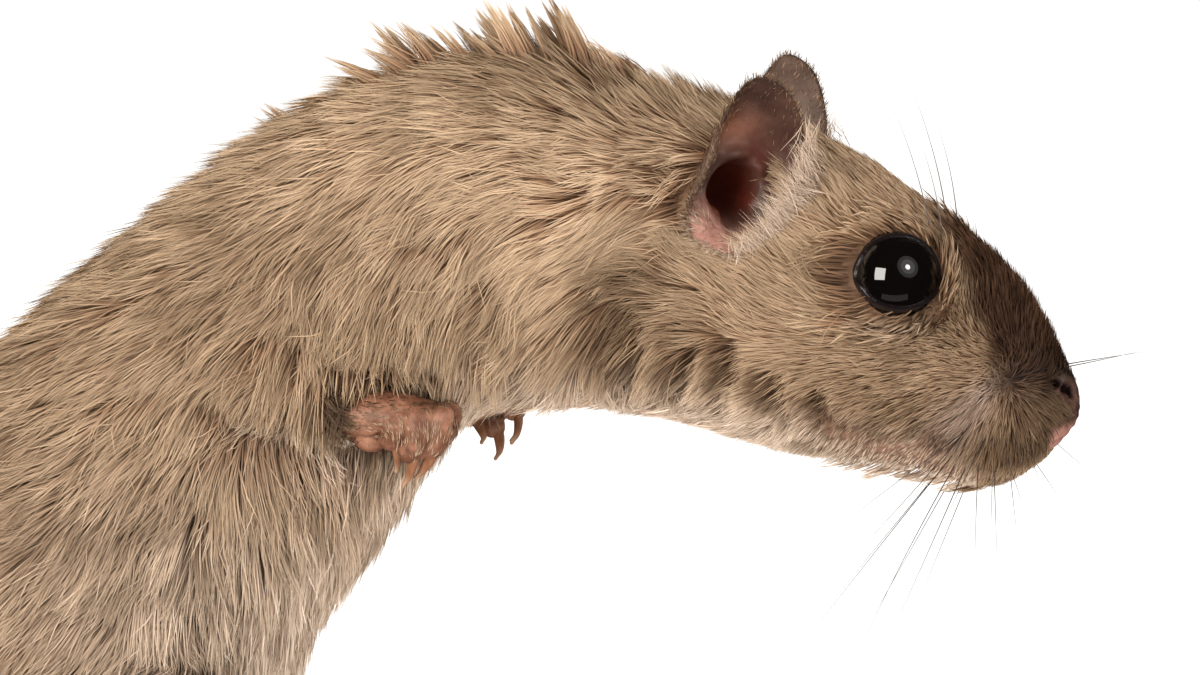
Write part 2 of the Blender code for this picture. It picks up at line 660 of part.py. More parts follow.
def make_claws(word, side):
    for finger in range(len(FINGERS)):
        path = finger_path(side, finger)
        name = f"claw_fore_{word}_{finger + 1}"
        way = (path[-1] - path[-2]).normalized()
        droop = Vector((CLAW_BACK[side], 0, -0.1))
        horn = claw(name, path[-1], FINGER_RADIUS * 0.85, way, droop, FORE_CLAW, FORE_CLAW_RADIUS)
        finish(horn, name, "claw horn", 0.4)
    for toe in range(len(TOES)):
        start, end = toe_frame(side, toe)
        name = f"claw_hind_{word}_{toe + 1}"
        way = (end - start).normalized()
        droop = Vector((0, 0, -0.5))
        horn = claw(name, end, TOE_RADIUS * 0.9, way, droop, HIND_CLAW, HIND_CLAW_RADIUS)
        lowest = min(v.co.z for v in horn.data.vertices)
        horn.data.transform(Matrix.Translation((0, 0, max(0.0, CLAW_CLEARANCE * MM - lowest))))
        finish(horn, name, "claw horn", 0.4)


def tail_piece(name, start, end, steps, grow=0.0):
    ends = (start == 0, end == len(TAIL_PATH) - 1)
    return tube(name, TAIL_PATH, TAIL_RADII, TAIL_SIDES, steps, start, end, grow, ends)


def make_tail():
    """The tail in three lengths, the last with the brush of long hair."""
    step = GAP / 2 / TAIL_STEP
    first, second = TAIL_CUTS
    base = combine(tail_piece("tail_base", 0, first - step, 14), [torso_form("trunk", GAP)], "DIFFERENCE")
    finish(flatten_on_floor(base), "tail_base", "coat", 0.85)
    middle = tail_piece("tail_middle", first + step, second - step, 8)
    finish(flatten_on_floor(middle), "tail_middle", "coat", 0.85)
    last = len(TAIL_PATH) - 1
    tip = tail_piece("tail_tip", second + step, last, 9)
    chance = random.Random(9)
    locks = []
    for i in range(BRUSH_LOCKS):
        t = BRUSH_START + (last - 0.15 - BRUSH_START) * i / (BRUSH_LOCKS - 1)
        centre, ahead = Vector(spline(TAIL_PATH, t)), Vector(spline(TAIL_PATH, t + 0.02))
        ahead = (ahead - centre).normalized()
        turn = Matrix.Rotation(math.pi * 2 * 0.382 * i, 3, ahead)
        outward = turn @ ahead.cross(Vector((0, 1, 0))).normalized()
        root = centre + outward * spline([(r,) for r in TAIL_RADII], t)[0] * 0.45
        room = (BRUSH_LIMIT - root.x) / min(ahead.x, -0.5) + BRUSH_OVERHANG
        size = min(BRUSH_LOCK * chance.uniform(0.8, 1.1), room)
        along = (ahead + outward * 0.24).normalized()
        locks.append(lock("hair", root, along, outward, size, BRUSH_WIDTH, BRUSH_THICK, -outward * 0.05))
    combine(tip, locks, "UNION")
    finish(flatten_on_floor(tip), "tail_tip", "coat", 0.85)


def main():
    for old in list(bpy.data.objects):
        bpy.data.objects.remove(old)
    make_torso()
    make_neck()
    make_head()
    make_tail()
    for word, side in SIDES.items():
        make_ear(f"ear_{word}", side)
        make_eye(f"eye_{word}", side)
        make_arm(f"foreleg_{word}", side)
        make_forepaw(f"forepaw_{word}", side)
        make_hind_leg(f"hind_leg_{word}", side)
        make_hind_foot(f"hind_foot_{word}", side)
        make_claws(word, side)


main()
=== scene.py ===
# The looks of the gerbil: one skin, its coat, ears, eyes, lids, nose, claws and whiskers.
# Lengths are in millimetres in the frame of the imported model, and are turned into metres where a
# mesh is made. The animal looks along +X and its left side is +Y.

import math

import bmesh
import bpy
import numpy as np
from mathutils import Matrix, Vector
from mathutils.bvhtree import BVHTree
from mathutils.kdtree import KDTree


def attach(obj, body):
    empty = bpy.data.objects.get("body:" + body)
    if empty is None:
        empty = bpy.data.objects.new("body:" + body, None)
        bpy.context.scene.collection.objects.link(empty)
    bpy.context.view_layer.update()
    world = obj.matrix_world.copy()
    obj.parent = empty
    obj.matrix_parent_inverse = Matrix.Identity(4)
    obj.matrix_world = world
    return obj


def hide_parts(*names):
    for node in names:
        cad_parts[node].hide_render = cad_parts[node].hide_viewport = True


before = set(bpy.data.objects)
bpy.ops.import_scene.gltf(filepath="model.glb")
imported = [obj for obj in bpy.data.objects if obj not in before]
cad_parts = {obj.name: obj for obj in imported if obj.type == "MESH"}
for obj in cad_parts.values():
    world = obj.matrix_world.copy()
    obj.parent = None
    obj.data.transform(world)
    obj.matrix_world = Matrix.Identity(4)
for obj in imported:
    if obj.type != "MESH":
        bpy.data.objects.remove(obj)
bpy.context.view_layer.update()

# One millimetre in metres.
MM = 0.001
SIDES = {"right": -1, "left": 1}
BODY = "root"
# How far over the floor the skin and the hair stay.
SKIN_OVER_FLOOR, HAIR_OVER_FLOOR = 0.02, 0.06

# Sections of the trunk, as in the solids: the dorsal point (x, z), the ventral point (x, z), the
# half width, and how far the widest level lies below the middle, as a share.
SECTIONS = (
    (-3.1, 14.5, 3.4, 4.5, 7.5, 0.05),
    (-4.1, 22.0, 11.5, 3.2, 14.0, 0.08),
    (-1.4, 31.5, 21.1, 4.6, 17.0, 0.10),
    (4.0, 39.6, 29.2, 9.5, 17.8, 0.10),
    (10.0, 45.5, 34.9, 17.0, 17.6, 0.10),
    (15.8, 50.0, 38.5, 24.8, 16.8, 0.10),
    (22.1, 55.8, 41.5, 29.5, 15.8, 0.08),
    (28.2, 60.4, 44.2, 33.0, 14.9, 0.06),
    (34.7, 65.0, 46.3, 36.5, 14.2, 0.05),
    (41.8, 69.0, 48.3, 39.4, 13.7, 0.05),
    (49.4, 71.3, 51.0, 42.2, 13.1, 0.06),
    (56.5, 71.8, 55.1, 43.5, 12.4, 0.08),
    (63.2, 69.8, 60.0, 43.6, 12.0, 0.10),
    (68.9, 68.2, 65.0, 43.4, 12.0, 0.13),
    (73.9, 66.9, 69.9, 42.4, 12.0, 0.16),
    (78.5, 65.2, 74.1, 41.3, 11.7, 0.20),
    (82.5, 63.0, 78.2, 40.4, 11.0, 0.22),
    (86.1, 60.5, 82.0, 39.8, 9.8, 0.22),
    (89.3, 57.8, 85.2, 39.3, 8.3, 0.22),
    (92.1, 54.9, 88.1, 38.5, 7.0, 0.22),
    (94.1, 51.8, 91.1, 38.6, 5.7, 0.18),
    (95.6, 48.9, 93.8, 40.0, 4.3, 0.08),
    (96.6, 47.5, 95.6, 41.7, 3.1, 0.0),
    (97.1, 46.3, 96.7, 43.0, 1.7, 0.0),
)
RUMP_TIP, NOSE_TIP = (-3.4, 8.6), (97.3, 44.7)
SQUARENESS = 2.25
LAST_SECTION = len(SECTIONS) - 1

# How deep the skin lies under the coat, and how long the hair is, along the sections.
DEPTHS = (
    (0, 2.4), (2, 3.1), (10, 3.1), (12, 2.8), (13.2, 2.1), (14.5, 1.5), (16, 1.15), (18, 0.95),
    (20, 0.8), (21.3, 0.55), (22.2, 0.3), (23, 0.2),
)
LENGTHS = (
    (0, 6.0), (2, 6.8), (10, 6.8), (12, 6.0), (13.2, 4.8), (14.5, 3.1), (16, 2.4), (18, 2.0),
    (20, 1.8), (21.3, 1.3), (22.2, 0.8), (23, 0.5),
)
DENSITIES = (
    (0, 18), (5, 21), (10, 26), (12, 29), (13.2, 36), (14.5, 46), (16, 54), (20, 64), (22.2, 60),
    (23, 50),
)
WIDTHS = (
    (0, 0.135), (5, 0.12), (10, 0.105), (12, 0.10), (13.2, 0.095), (14.5, 0.085), (16, 0.08),
    (20, 0.072), (23, 0.05),
)
# How strongly neighbouring hairs draw together to locks.
LOCKS = ((0, 0.8), (10, 0.8), (12, 1.0), (13.2, 1.0), (14.5, 0.55), (16, 0.3), (20, 0.25), (23, 0.1))

# Bumps and hollows of the head, as in the solids: place, spread along x, y and z, and height.
HEAD_RELIEF = (
    ((88.4, 6.5, 55.6), (2.6, 4.0, 3.4), 1.1),
    ((80.2, 9.5, 55.4), (3.2, 4.0, 4.0), -0.6),
    ((84.6, 6.5, 59.6), (3.2, 3.0, 1.6), 0.5),
    ((91.4, 4.2, 42.8), (3.0, 3.2, 3.2), 1.0),
    ((87.0, 6.6, 42.2), (1.2, 3.0, 1.9), -0.7),
    ((89.6, 6.6, 50.0), (2.6, 3.0, 2.6), -0.6),
    ((77.5, 10.5, 47.5), (5.0, 5.0, 4.5), 0.6),
    ((96.0, 2.1, 46.6), (1.3, 1.1, 1.2), 0.45),
    ((95.6, 0.0, 42.6), (2.6, 0.7, 2.2), -0.5),
    ((92.0, 0.0, 38.6), (4.2, 1.3, 2.2), -1.5),
)
# A nostril as a comma of pits, the place and size of each, and the middle of the nose.
NOSTRIL = (
    ((96.7, 1.6, 46.1), (0.75, 0.6, 0.48)), ((96.2, 2.2, 46.4), (0.7, 0.65, 0.52)), ((95.7, 2.7, 46.9),
    (0.6, 0.75, 0.42)),
)
NOSE_MIDDLE = (92.5, 0.0, 45.2)
JAW_PATH = ((72.0, 0, 46.0), (80.0, 0, 43.2), (87.0, 0, 41.2), (90.6, 0, 40.8), (92.0, 0, 41.0))
JAW_RADII = ((4.0, 2.6), (4.4, 2.8), (3.4, 2.2), (2.4, 1.7), (1.0, 0.8))

EYE, EYE_RADIUS = np.array((84.0, 7.0, 55.2)), 3.5
# Half the size of the eye's opening, ahead and up, and the depth of its plane behind the middle of
# the ball.
EYE_WIDE, EYE_HIGH, EYE_PLANE = 3.4, 3.0, -2.5
GAZE = np.array((0.32, 0.9, 0.29))

EAR_ROOT = np.array((72.7, 9.5, 60.2))
EAR_TIP = np.array((74.4, 10.0, 70.6))
EAR_TURN = math.radians(30)

ELBOW = np.array((36.8, 12.0, 47.6))
WRIST = np.array((43.4, 10.2, 45.0))
KNUCKLES = np.array((49.2, 10.0, 45.0))
ARM_RADII = (3.8, 3.2, 2.4)
LEFT_ARM_AHEAD, LEFT_ARM_LOWER = 2.0, 1.0
FINGERS = ((-2.9, 0.9, 0.65), (-0.8, 1.3, 1.0), (1.3, 0.9, 0.9), (1.6, -0.8, 0.75))
FINGER_BENDS = {
    -1: np.array(((0.0, -0.7, 0.4), (0.3, 0.5, 0.1), (0.35, 0.9, -1.4), (0.05, 0.7, -2.5))),
    1: np.array(((0.0, -0.7, 0.4), (0.2, 0.5, 0.2), (0.6, 0.9, -1.4), (0.9, 0.7, -2.5))),
}
FINGERS_DRAWN_IN = {-1: np.array((0.0, 0.05, 0.15, 0.3)), 1: np.array((0.0, 0.0, 0.1, 0.2))}
FIRST_RAISED_FINGER, FINGER_RISE = 2, 1.1
FINGER_RADIUS = 0.95
# The length of a claw and its radius at the root.
FORE_CLAW, HIND_CLAW = (2.3, 0.44), (2.6, 0.42)
CLAW_BACK = {-1: -0.3, 1: -0.5}

KNEE = np.array((31.4, 13.6, 15.0))
HEEL = np.array((12.6, 12.4, 2.4))
TOE_BASE = np.array((33.0, 13.3, 1.6))
THIGH_CENTRE = np.array((21.4, 12.0, 16.6))
THIGH_RADII = (16.0, 7.6, 13.2)
THIGH_PITCH = math.radians(12)
SHANK_RADII = (6.0, 5.8, 5.0, 3.8, 2.8)
TOES = (
    (-5.0, -1.9, 4.4, -14), (0.0, -1.7, 8.2, -7), (0.4, -0.3, 9.2, 0), (0.0, 1.2, 8.4, 7),
    (-3.4, 2.0, 5.4, 15),
)
TOE_RADIUS = 1.0

TAIL_PATH = (
    (3.5, 0.0, 10.0), (-4.5, 0.0, 6.6), (-12.0, 0.6, 3.7), (-22.0, 2.2, 2.7), (-36.0, 5.2, 2.4),
    (-52.0, 7.6, 2.3), (-68.0, 7.2, 2.2), (-82.0, 4.0, 2.1), (-94.0, -0.6, 1.7),
)
TAIL_RADII = (3.9, 3.5, 2.9, 2.6, 2.4, 2.3, 2.2, 1.9, 0.9)

# Where each form lies in the unwrap that the coat takes its place from: left, bottom, right, top.
TRUNK, THIGH, SHANK, FOOT, ARM, PAW, TAIL, EAR = range(8)
PATCHES = {
    TRUNK: (0.01, 0.30, 0.99, 0.99), THIGH: (0.01, 0.15, 0.30, 0.28), SHANK: (0.31, 0.15, 0.44, 0.28),
    FOOT: (0.45, 0.15, 0.60, 0.28), ARM: (0.61, 0.15, 0.74, 0.28), PAW: (0.75, 0.15, 0.88, 0.28),
    TAIL: (0.01, 0.01, 0.70, 0.13), EAR: (0.72, 0.01, 0.98, 0.13),
}
TUFT_PATCH = 0.003

# The lie of the coat on the side of the animal: x, z, degrees below straight back, how high the
# tips stand, and how far the row reaches.
COMB = (
    (62.0, 70.5, 0, 1.2, 4), (55.4, 66.3, 5, 1.1, 3.5), (50.5, 69.0, 14, 1.2, 3),
    (46.9, 68.0, 28, 1.1, 3),
    (43.3, 66.5, 42, 1.1, 3), (40.0, 66.0, 40, 1.2, 3), (42.6, 64.2, 50, 1.0, 3),
    (49.4, 65.2, 32, 1.0, 3),
    (54.8, 64.3, 12, 1.0, 3), (48.9, 62.8, 38, 1.0, 3), (54.8, 61.3, 22, 1.0, 2.5),
    (41.4, 58.4, 60, 1.0, 4),
    (45.9, 58.4, 48, 1.0, 3), (50.4, 58.4, 42, 1.0, 3), (57.3, 61.9, 4, 1.0, 2.2),
    (57.5, 55.8, 28, 1.0, 2.5),
    (53.0, 55.5, 40, 1.0, 2.5), (42.9, 52.4, 72, 1.0, 4), (48.9, 52.4, 54, 1.0, 3),
    (53.4, 52.4, 44, 1.0, 3),
    (58.0, 50.5, 58, 1.1, 2.5), (47.4, 48.9, 76, 0.8, 3), (53.0, 48.3, 62, 1.0, 3),
    (35.7, 62.7, 30, 1.0, 4), (27.9, 53.6, 38, 1.0, 5), (33.1, 50.5, 54, 1.0, 4),
    (38.6, 49.0, 76, 1.0, 4),
    (18.5, 51.4, 30, 1.0, 5), (21.4, 40.7, 42, 1.0, 5), (29.2, 37.6, 60, 1.0, 5),
    (33.1, 32.9, 80, 1.0, 4),
    (39.5, 36.0, 92, 1.0, 4), (10.0, 42.0, 35, 1.0, 6), (3.0, 34.0, 55, 1.0, 6),
    (-1.0, 25.0, 70, 1.0, 6),
    (-2.0, 12.0, 75, 1.0, 5), (12.0, 30.0, 50, 1.0, 6), (22.0, 26.0, 56, 1.0, 5),
    (8.0, 14.0, 62, 1.0, 6),
    (20.0, 14.0, 55, 1.0, 6), (29.0, 20.0, 60, 1.0, 5), (32.0, 27.0, 85, 1.0, 4),
    (61.5, 61.4, 75, 1.1, 1.5), (64.5, 62.0, 60, 1.1, 2), (67.8, 62.3, 68, 1.2, 2),
    (65.3, 67.2, -3, 1.3, 3),
    (71.0, 67.6, -8, 1.8, 3), (62.5, 57.4, 5, 1.3, 1.8), (66.0, 56.7, -25, 1.0, 2),
    (69.1, 54.5, -30, 1.0, 2.2),
    (72.9, 53.0, -40, 1.0, 2.5), (76.6, 54.4, -25, 1.0, 2.5), (67.0, 52.3, 0, 1.2, 2),
    (63.9, 51.8, 65, 1.3, 1.8),
    (63.6, 47.7, 84, 1.2, 2.2), (67.7, 49.6, 20, 1.2, 2.2), (71.0, 48.9, 12, 1.3, 2.2),
    (74.4, 47.6, 14, 1.35, 2.2),
    (77.6, 46.6, 16, 1.35, 2.0), (67.6, 46.2, 42, 1.3, 2.0), (71.0, 45.8, 28, 1.35, 2.0),
    (74.6, 44.8, 22, 1.4, 2.0),
    (78.0, 43.9, 18, 1.3, 2.0), (70.6, 43.4, 58, 1.4, 2.2), (75.0, 42.4, 46, 1.4, 2.0),
    (62.3, 45.5, 78, 1.2, 3),
    (81.0, 47.4, 4, 1.1, 2.4), (81.0, 42.6, 18, 0.9, 2.2), (84.6, 43.0, 18, 0.7, 1.8),
    (79.0, 50.5, -8, 1.0, 2.5),
    (77.9, 62.3, -65, 0.9, 1.5), (79.8, 60.2, -40, 0.9, 1.5), (81.6, 58.6, -5, 0.9, 1.4),
    (79.4, 56.6, 16, 0.9, 1.5),
    (79.6, 54.2, 14, 0.9, 1.5), (82.6, 62.7, -28, 0.8, 2), (79.5, 65.0, -22, 1.1, 2),
    (76.3, 68.0, -18, 1.1, 2.5),
    (87.0, 59.2, -38, 0.5, 1.6), (84.6, 60.6, -28, 0.55, 1.7), (82.4, 64.2, -26, 0.6, 1.8),
    (89.0, 53.3, -50, 0.9, 1.6), (89.5, 57.0, -48, 0.6, 1.6),
    (91.5, 53.0, -65, 1.1, 1.8), (94.0, 50.0, -70, 1.7, 1.6), (95.9, 48.2, -80, 1.6, 1.0),
    (87.9, 50.0, -14, 1.0, 1.8),
    (83.9, 50.2, 2, 1.0, 2.2), (87.5, 46.3, 6, 1.0, 1.8), (89.9, 46.2, 34, 1.0, 1.2),
    (90.2, 48.6, 2, 0.9, 1.1), (90.8, 44.9, 55, 1.0, 1.1), (90.3, 42.8, 65, 1.0, 1.5),
    (91.6, 43.6, 80, 1.0, 1.4), (93.6, 43.2, 112, 1.0, 1.4), (94.9, 45.6, 150, 0.9, 1.2),
    (94.3, 47.8, 184, 0.8, 1.1),
    (91.8, 40.6, 92, 1.0, 1.4), (88.0, 40.5, 60, 0.8, 1.4), (84.0, 46.5, 4, 1.0, 2.2),
)

# The whorl of the whisker pad, x and z.
WHORL = (92.0, 47.8)

# Where the hair parts to go round the eye, x and z.
EYE_SPLIT = (87.8, 52.4)

# Partings where the coat opens and its dark ground shows, with their hair also painted darker as painted
# shade: x, z, their size along x and z, strength.
PARTINGS = (
    (61.4, 61.6, 0.8, 2.2, 0.9), (63.6, 52.2, 1.6, 1.5, 1.2), (61.8, 54.4, 1.4, 0.7, 0.8),
    (67.0, 62.8, 0.9, 1.2, 1.0),
    (65.0, 55.4, 1.4, 0.7, 0.8), (46.2, 47.7, 5.0, 1.2, 1.6), (96.4, 46.4, 0.9, 0.65, 1.1),
    (24.0, 30.5, 4.0, 1.0, 0.6), (41.5, 66.2, 1.0, 1.4, 0.35), (53.0, 57.4, 1.0, 1.0, 0.4),
    (87.4, 43.0, 0.8, 0.9, 0.9),
)

# Pleats of the throat, where a row of tips ends over the start of the next, with painted highlight on
# the tips before each edge and painted shade on the start beyond it: x, z, height, strength, lean.
PLEATS = (
    (65.5, 50.2, 2.6, 1.1, 0.1), (69.2, 48.6, 2.2, 1.1, 0.3), (72.6, 49.2, 1.9, 1.1, 0.1),
    (71.6, 46.0, 1.4, 1.0, 0.2),
    (76.2, 46.6, 2.2, 1.25, -0.25), (79.1, 45.8, 1.8, 1.15, -0.35), (75.0, 44.2, 0.9, 0.8, 0.0),
)
PLEAT_WIDTH = 0.5

# Lighter and darker areas of the coat: x, z, their size along x and z, and how much lighter.
AREAS = (
    (47.0, 66.0, 8.0, 4.0, 0.9), (62.0, 67.5, 9.0, 2.8, -1.25), (62.5, 62.0, 4.0, 4.2, 1.7),
    (66.4, 54.0, 3.0, 3.4, -2.3),
    (60.0, 50.8, 3.2, 4.0, 1.2), (93.0, 43.6, 4.0, 3.8, -2.5), (88.5, 50.6, 4.6, 3.0, -0.9),
    (80.0, 43.4, 8.0, 2.4, -2.3),
    # The area at (46.0, 47.4) on the next row is painted shade in the recess over the hand.
    (96.0, 46.6, 1.8, 2.4, -2.1), (46.0, 47.4, 5.0, 1.3, -3.4), (26.0, 38.0, 10.0, 8.0, -1.3),
    (76.0, 52.0, 8.0, 5.0, -0.3),
    # The area at (43.0, 45.4) on the next row is painted shade in the recess over the hand, by the
    # wrist.
    (38.0, 58.0, 8.0, 5.0, -0.6), (32.0, 27.0, 6.0, 6.0, -0.8), (43.0, 45.4, 3.0, 2.0, -1.8),
)

# Tufts that stand up along the withers: x and z of the root, x and z of the tip, y, width, number
# of hairs, tone.
TUFTS = (
    (46.4, 69.6, 41.2, 71.0, -2.2, 0.5, 90, 0.0), (48.2, 70.2, 44.0, 72.0, -1.6, 0.6, 120, 0.1),
    (49.0, 70.4, 45.6, 73.7, -0.6, 0.7, 150, 0.2), (50.0, 70.6, 46.8, 73.0, 1.2, 0.5, 70, -0.2),
    (51.8, 71.0, 48.5, 73.7, -0.8, 0.28, 40, 1.0), (54.6, 70.8, 51.2, 73.2, -1.6, 0.5, 100, -0.3),
    (54.9, 71.0, 51.5, 75.0, -0.5, 0.5, 110, -0.1), (56.2, 71.0, 53.6, 75.4, -1.0, 0.45, 110, 1.6),
    (56.8, 71.0, 54.6, 75.3, 0.2, 0.45, 90, 1.2), (57.8, 71.0, 55.8, 75.0, -0.9, 0.35, 70, -0.4),
    (59.3, 71.2, 56.9, 75.5, 0.3, 0.5, 110, 0.0), (60.2, 71.2, 58.2, 75.4, -0.7, 0.5, 110, 0.2),
    (53.0, 71.0, 50.0, 73.6, 1.4, 0.5, 70, 0.0), (58.4, 71.2, 56.0, 74.4, 1.6, 0.5, 80, 0.0),
    (62.6, 70.6, 60.6, 72.7, -0.6, 0.8, 90, 0.3), (64.4, 69.8, 62.2, 71.3, 0.2, 0.8, 90, 0.3),
    (38.4, 65.8, 34.8, 67.4, -0.8, 0.5, 60, -0.2),
)


def unit(v):
    return v / np.maximum(np.linalg.norm(v, axis=-1, keepdims=True), 1e-9)


def full_turn(sides):
    return 2 * np.pi * np.arange(sides) / sides


def flat_part(way, normal):
    """The way without its part along the normal."""
    return unit(way - normal * (way * normal).sum(1, keepdims=True))


def along(table, t):
    """Reads a table of (section, value) rows at t."""
    places, values = zip(*table)
    return np.interp(t, places, values)


def smooth_step(low, high, value):
    share = np.clip((value - low) / (high - low), 0, 1)
    return share * share * (3 - 2 * share)


def bell(points, x, z, wide, tall):
    """A share that is 1 at a place on the side and fades over its size along x and z."""
    return np.exp(-((points[:, 0] - x) / wide) ** 2 - ((points[:, 2] - z) / tall) ** 2)


def waves(points, size, seed):
    """Smooth random waves in space, about size mm from crest to crest, mostly from -1 to 1."""
    draw = np.random.default_rng(seed)
    ways = unit(draw.normal(size=(10, 3))) * draw.uniform(0.7, 1.5, (10, 1)) * 2 * np.pi / size
    return np.sin(points @ ways.T + draw.uniform(0, 2 * np.pi, 10)).sum(1) / 4.5


def spline(rows, t):
    """Points on the Catmull-Rom curve through rows, where t counts the rows."""
    rows, t = np.asarray(rows, float), np.asarray(t, float)
    last = len(rows) - 1
    i = np.clip(np.floor(t).astype(int), 0, last - 1)
    f = (t - i)[..., None]
    return curve_between(*(rows[np.clip(i + k, 0, last)] for k in (-1, 0, 1, 2)), f)


def curve_between(a, b, c, d, f):
    """The Catmull-Rom curve at the share f of the way from b to c."""
    square, cube = 2 * a - 5 * b + 4 * c - d, 3 * b - a - 3 * c + d
    return 0.5 * (2 * b + (c - a) * f + square * f**2 + cube * f**3)


def relief(points):
    """How far the bumps and hollows of the head lift points of its surface."""
    mirrored = points * (1, 0, 1) + np.abs(points) * (0, 1, 0)
    lift = np.zeros(points.shape[:-1])
    for place, spread, height in HEAD_RELIEF:
        lift += height * np.exp(-(((mirrored - place) / spread) ** 2).sum(-1))
    return lift


def nostril_share(points):
    """How deep points of the nose lie in the pit of a nostril."""
    flat = np.stack([points[:, 0], np.abs(points[:, 1]), points[:, 2]], -1)
    return np.max([np.exp(-(((flat - spot) / size) ** 2).sum(-1)) for spot, size in NOSTRIL], 0)


def trunk_point(t, angle, grow):
    """Points of the coat's surface at section t, moved out by grow; the angle runs from the back
    over the left."""
    t, angle, grow = np.broadcast_arrays(*(np.asarray(entry, float) for entry in (t, angle, grow)))
    rows = spline(SECTIONS, t)
    back = np.stack([rows[..., 0], np.zeros(t.shape), rows[..., 1]], -1)
    belly = np.stack([rows[..., 2], np.zeros(t.shape), rows[..., 3]], -1)
    half = (back - belly) / 2
    depth = np.linalg.norm(half, axis=-1)
    up = half / depth[..., None]
    high, wide = (np.sign(f) * np.abs(f) ** (2 / SQUARENESS) for f in (np.cos(angle), np.sin(angle)))
    rise = (depth + grow) * (high - rows[..., 5] * np.sin(angle) ** 2)
    middle = (back + belly) / 2
    point = middle + up * rise[..., None]
    point[..., 1] += (rows[..., 4] + grow) * wide
    return point + unit(point - middle) * relief(point)[..., None]


class Form:
    """A closed surface of rings: its points and faces, and what the coat on it needs to know."""

    def __init__(self, part, rings, first, last, lie=None, level=None):
        rows, sides = rings.shape[:2]
        self.points = np.concatenate([rings.reshape(-1, 3), [first, last]])
        self.faces = closed_faces(rows, sides)
        left, bottom, right, top = PATCHES[part]
        share = np.linspace(0, 1, rows)
        wide = left + (right - left) * (np.arange(sides) + 0.5)[None] / sides
        high = bottom + (top - bottom) * share[:, None]
        grid = np.stack(np.broadcast_arrays(wide, high), -1).reshape(-1, 2)
        self.patch = np.concatenate([grid, [(left, bottom), (left, top)]])
        self.part = np.full(len(self.points), part)
        self.lie = np.zeros((len(self.points), 3)) if lie is None else lie
        steps = share if level is None else level
        self.level = np.concatenate([np.repeat(steps, sides), [steps[0], steps[-1]]])


def trunk_form():
    level = np.concatenate([np.linspace(0, 13, 150, endpoint=False), np.linspace(13, LAST_SECTION, 150)])
    turn = full_turn(150)
    rings = trunk_point(level[:, None], turn[None], -along(DEPTHS, level)[:, None])
    first = (RUMP_TIP[0] + along(DEPTHS, 0), 0, RUMP_TIP[1])
    last = (NOSE_TIP[0] - along(DEPTHS, LAST_SECTION), 0, NOSE_TIP[1])
    return Form(TRUNK, rings, first, last, level=level)


def tube_rings(path, radii, sides, rows, end=None, inset=0.0):
    """Rings of a round or oval tube on a smooth path, their centres and the way ahead at each."""
    pairs = np.array([r if isinstance(r, tuple) else (r, r) for r in radii], float)
    end = len(path) - 1 if end is None else end
    t = np.linspace(0.0, end, rows)
    centre = spline(path, t)
    ahead = unit(spline(path, t + 0.01) - spline(path, t - 0.01))
    across = np.empty_like(ahead)
    level = np.cross((0, 0, 1), ahead[0])
    across[0] = level if np.linalg.norm(level) > 0.05 else (0, 1, 0)
    for i in range(rows):
        before = across[max(i - 1, 0)]
        across[i] = unit(before - ahead[i] * (before @ ahead[i]))
    upright = np.cross(ahead, across)
    size = np.maximum(spline(pairs, t) - inset, 0.15)
    turn = full_turn(sides)
    ring = across[:, None] * (size[:, :1] * np.cos(turn))[..., None]
    ring = ring + upright[:, None] * (size[:, 1:] * np.sin(turn))[..., None]
    return centre[:, None] + ring, centre, ahead, size


def tube_form(part, path, radii, sides, rows, end=None, inset=0.0):
    """A tube with round ends."""
    rings, centre, ahead, size = tube_rings(path, radii, sides, rows, end, inset)
    caps = []
    for at, way in ((0, -1), (-1, 1)):
        reach = size[at].min()
        shares = [math.radians(a) for a in (25, 50, 72)]
        spokes, out = rings[at] - centre[at], ahead[at] * way * reach
        cap = [centre[at] + spokes * math.cos(a) + out * math.sin(a) for a in shares]
        caps.append(np.array(cap if way > 0 else cap[::-1]))
    rings = np.concatenate([caps[0], rings, caps[1]])
    lie = np.concatenate([np.repeat(ahead[:1], 3, 0), ahead, np.repeat(ahead[-1:], 3, 0)])
    lie = np.concatenate([np.repeat(lie, sides, 0), ahead[:1], ahead[-1:]])
    first, last = centre[0] - ahead[0] * size[0].min(), centre[-1] + ahead[-1] * size[-1].min()
    steps = np.concatenate([[0] * 3, np.linspace(0, 1, rows), [1] * 3])
    return Form(part, rings, first, last, lie, steps)


def ball_form(part, centre, radii, frame_of, sides, rows):
    """An ellipsoid; frame_of holds its three axes as rows."""
    lie = np.pi * np.arange(1, rows) / rows
    turn = full_turn(sides)
    axes = np.asarray(frame_of, float) * np.asarray(radii, float)[:, None]
    rings = (np.sin(lie)[:, None] * np.cos(turn))[..., None] * axes[0]
    rings = rings + (np.sin(lie)[:, None] * np.sin(turn))[..., None] * axes[1]
    rings = rings + np.cos(lie)[:, None, None] * axes[2]
    return Form(part, rings + centre, centre + axes[2], centre - axes[2])


def mirrored(side):
    return np.array((1, side, 1))


def arm_shift(side):
    return np.array((LEFT_ARM_AHEAD, 0, -LEFT_ARM_LOWER)) if side > 0 else np.zeros(3)


def eye_frame(side):
    """Ahead, up and out of an eye."""
    out = unit(GAZE * mirrored(side))
    ahead = unit(np.cross((0, 0, 1), out)) * side
    ahead = ahead * np.sign(ahead[0])
    return ahead, unit(np.cross(out, ahead)) * -side, out


def thigh_form(side):
    c, s = math.cos(THIGH_PITCH), math.sin(THIGH_PITCH)
    radii = np.array(THIGH_RADII) - 2.6
    axes = ((c, 0, s), (-s, 0, c), (0, 1, 0))
    return ball_form(THIGH, THIGH_CENTRE * mirrored(side), radii[[0, 2, 1]], axes, 60, 40)


def shank_form(side):
    path = [(KNEE + (HEEL + (-0.6, 0, 2.4) - KNEE) * i / 4) * mirrored(side) for i in range(5)]
    return tube_form(SHANK, path, SHANK_RADII, 36, 30, inset=1.4)


def toe_ends(side, toe):
    back, across, length, spread = TOES[toe]
    start = TOE_BASE + (back, across, -0.35)
    way = np.array((math.cos(math.radians(spread)), math.sin(math.radians(spread)), 0))
    return start * mirrored(side), (start + way * length + (0, 0, -0.25)) * mirrored(side)


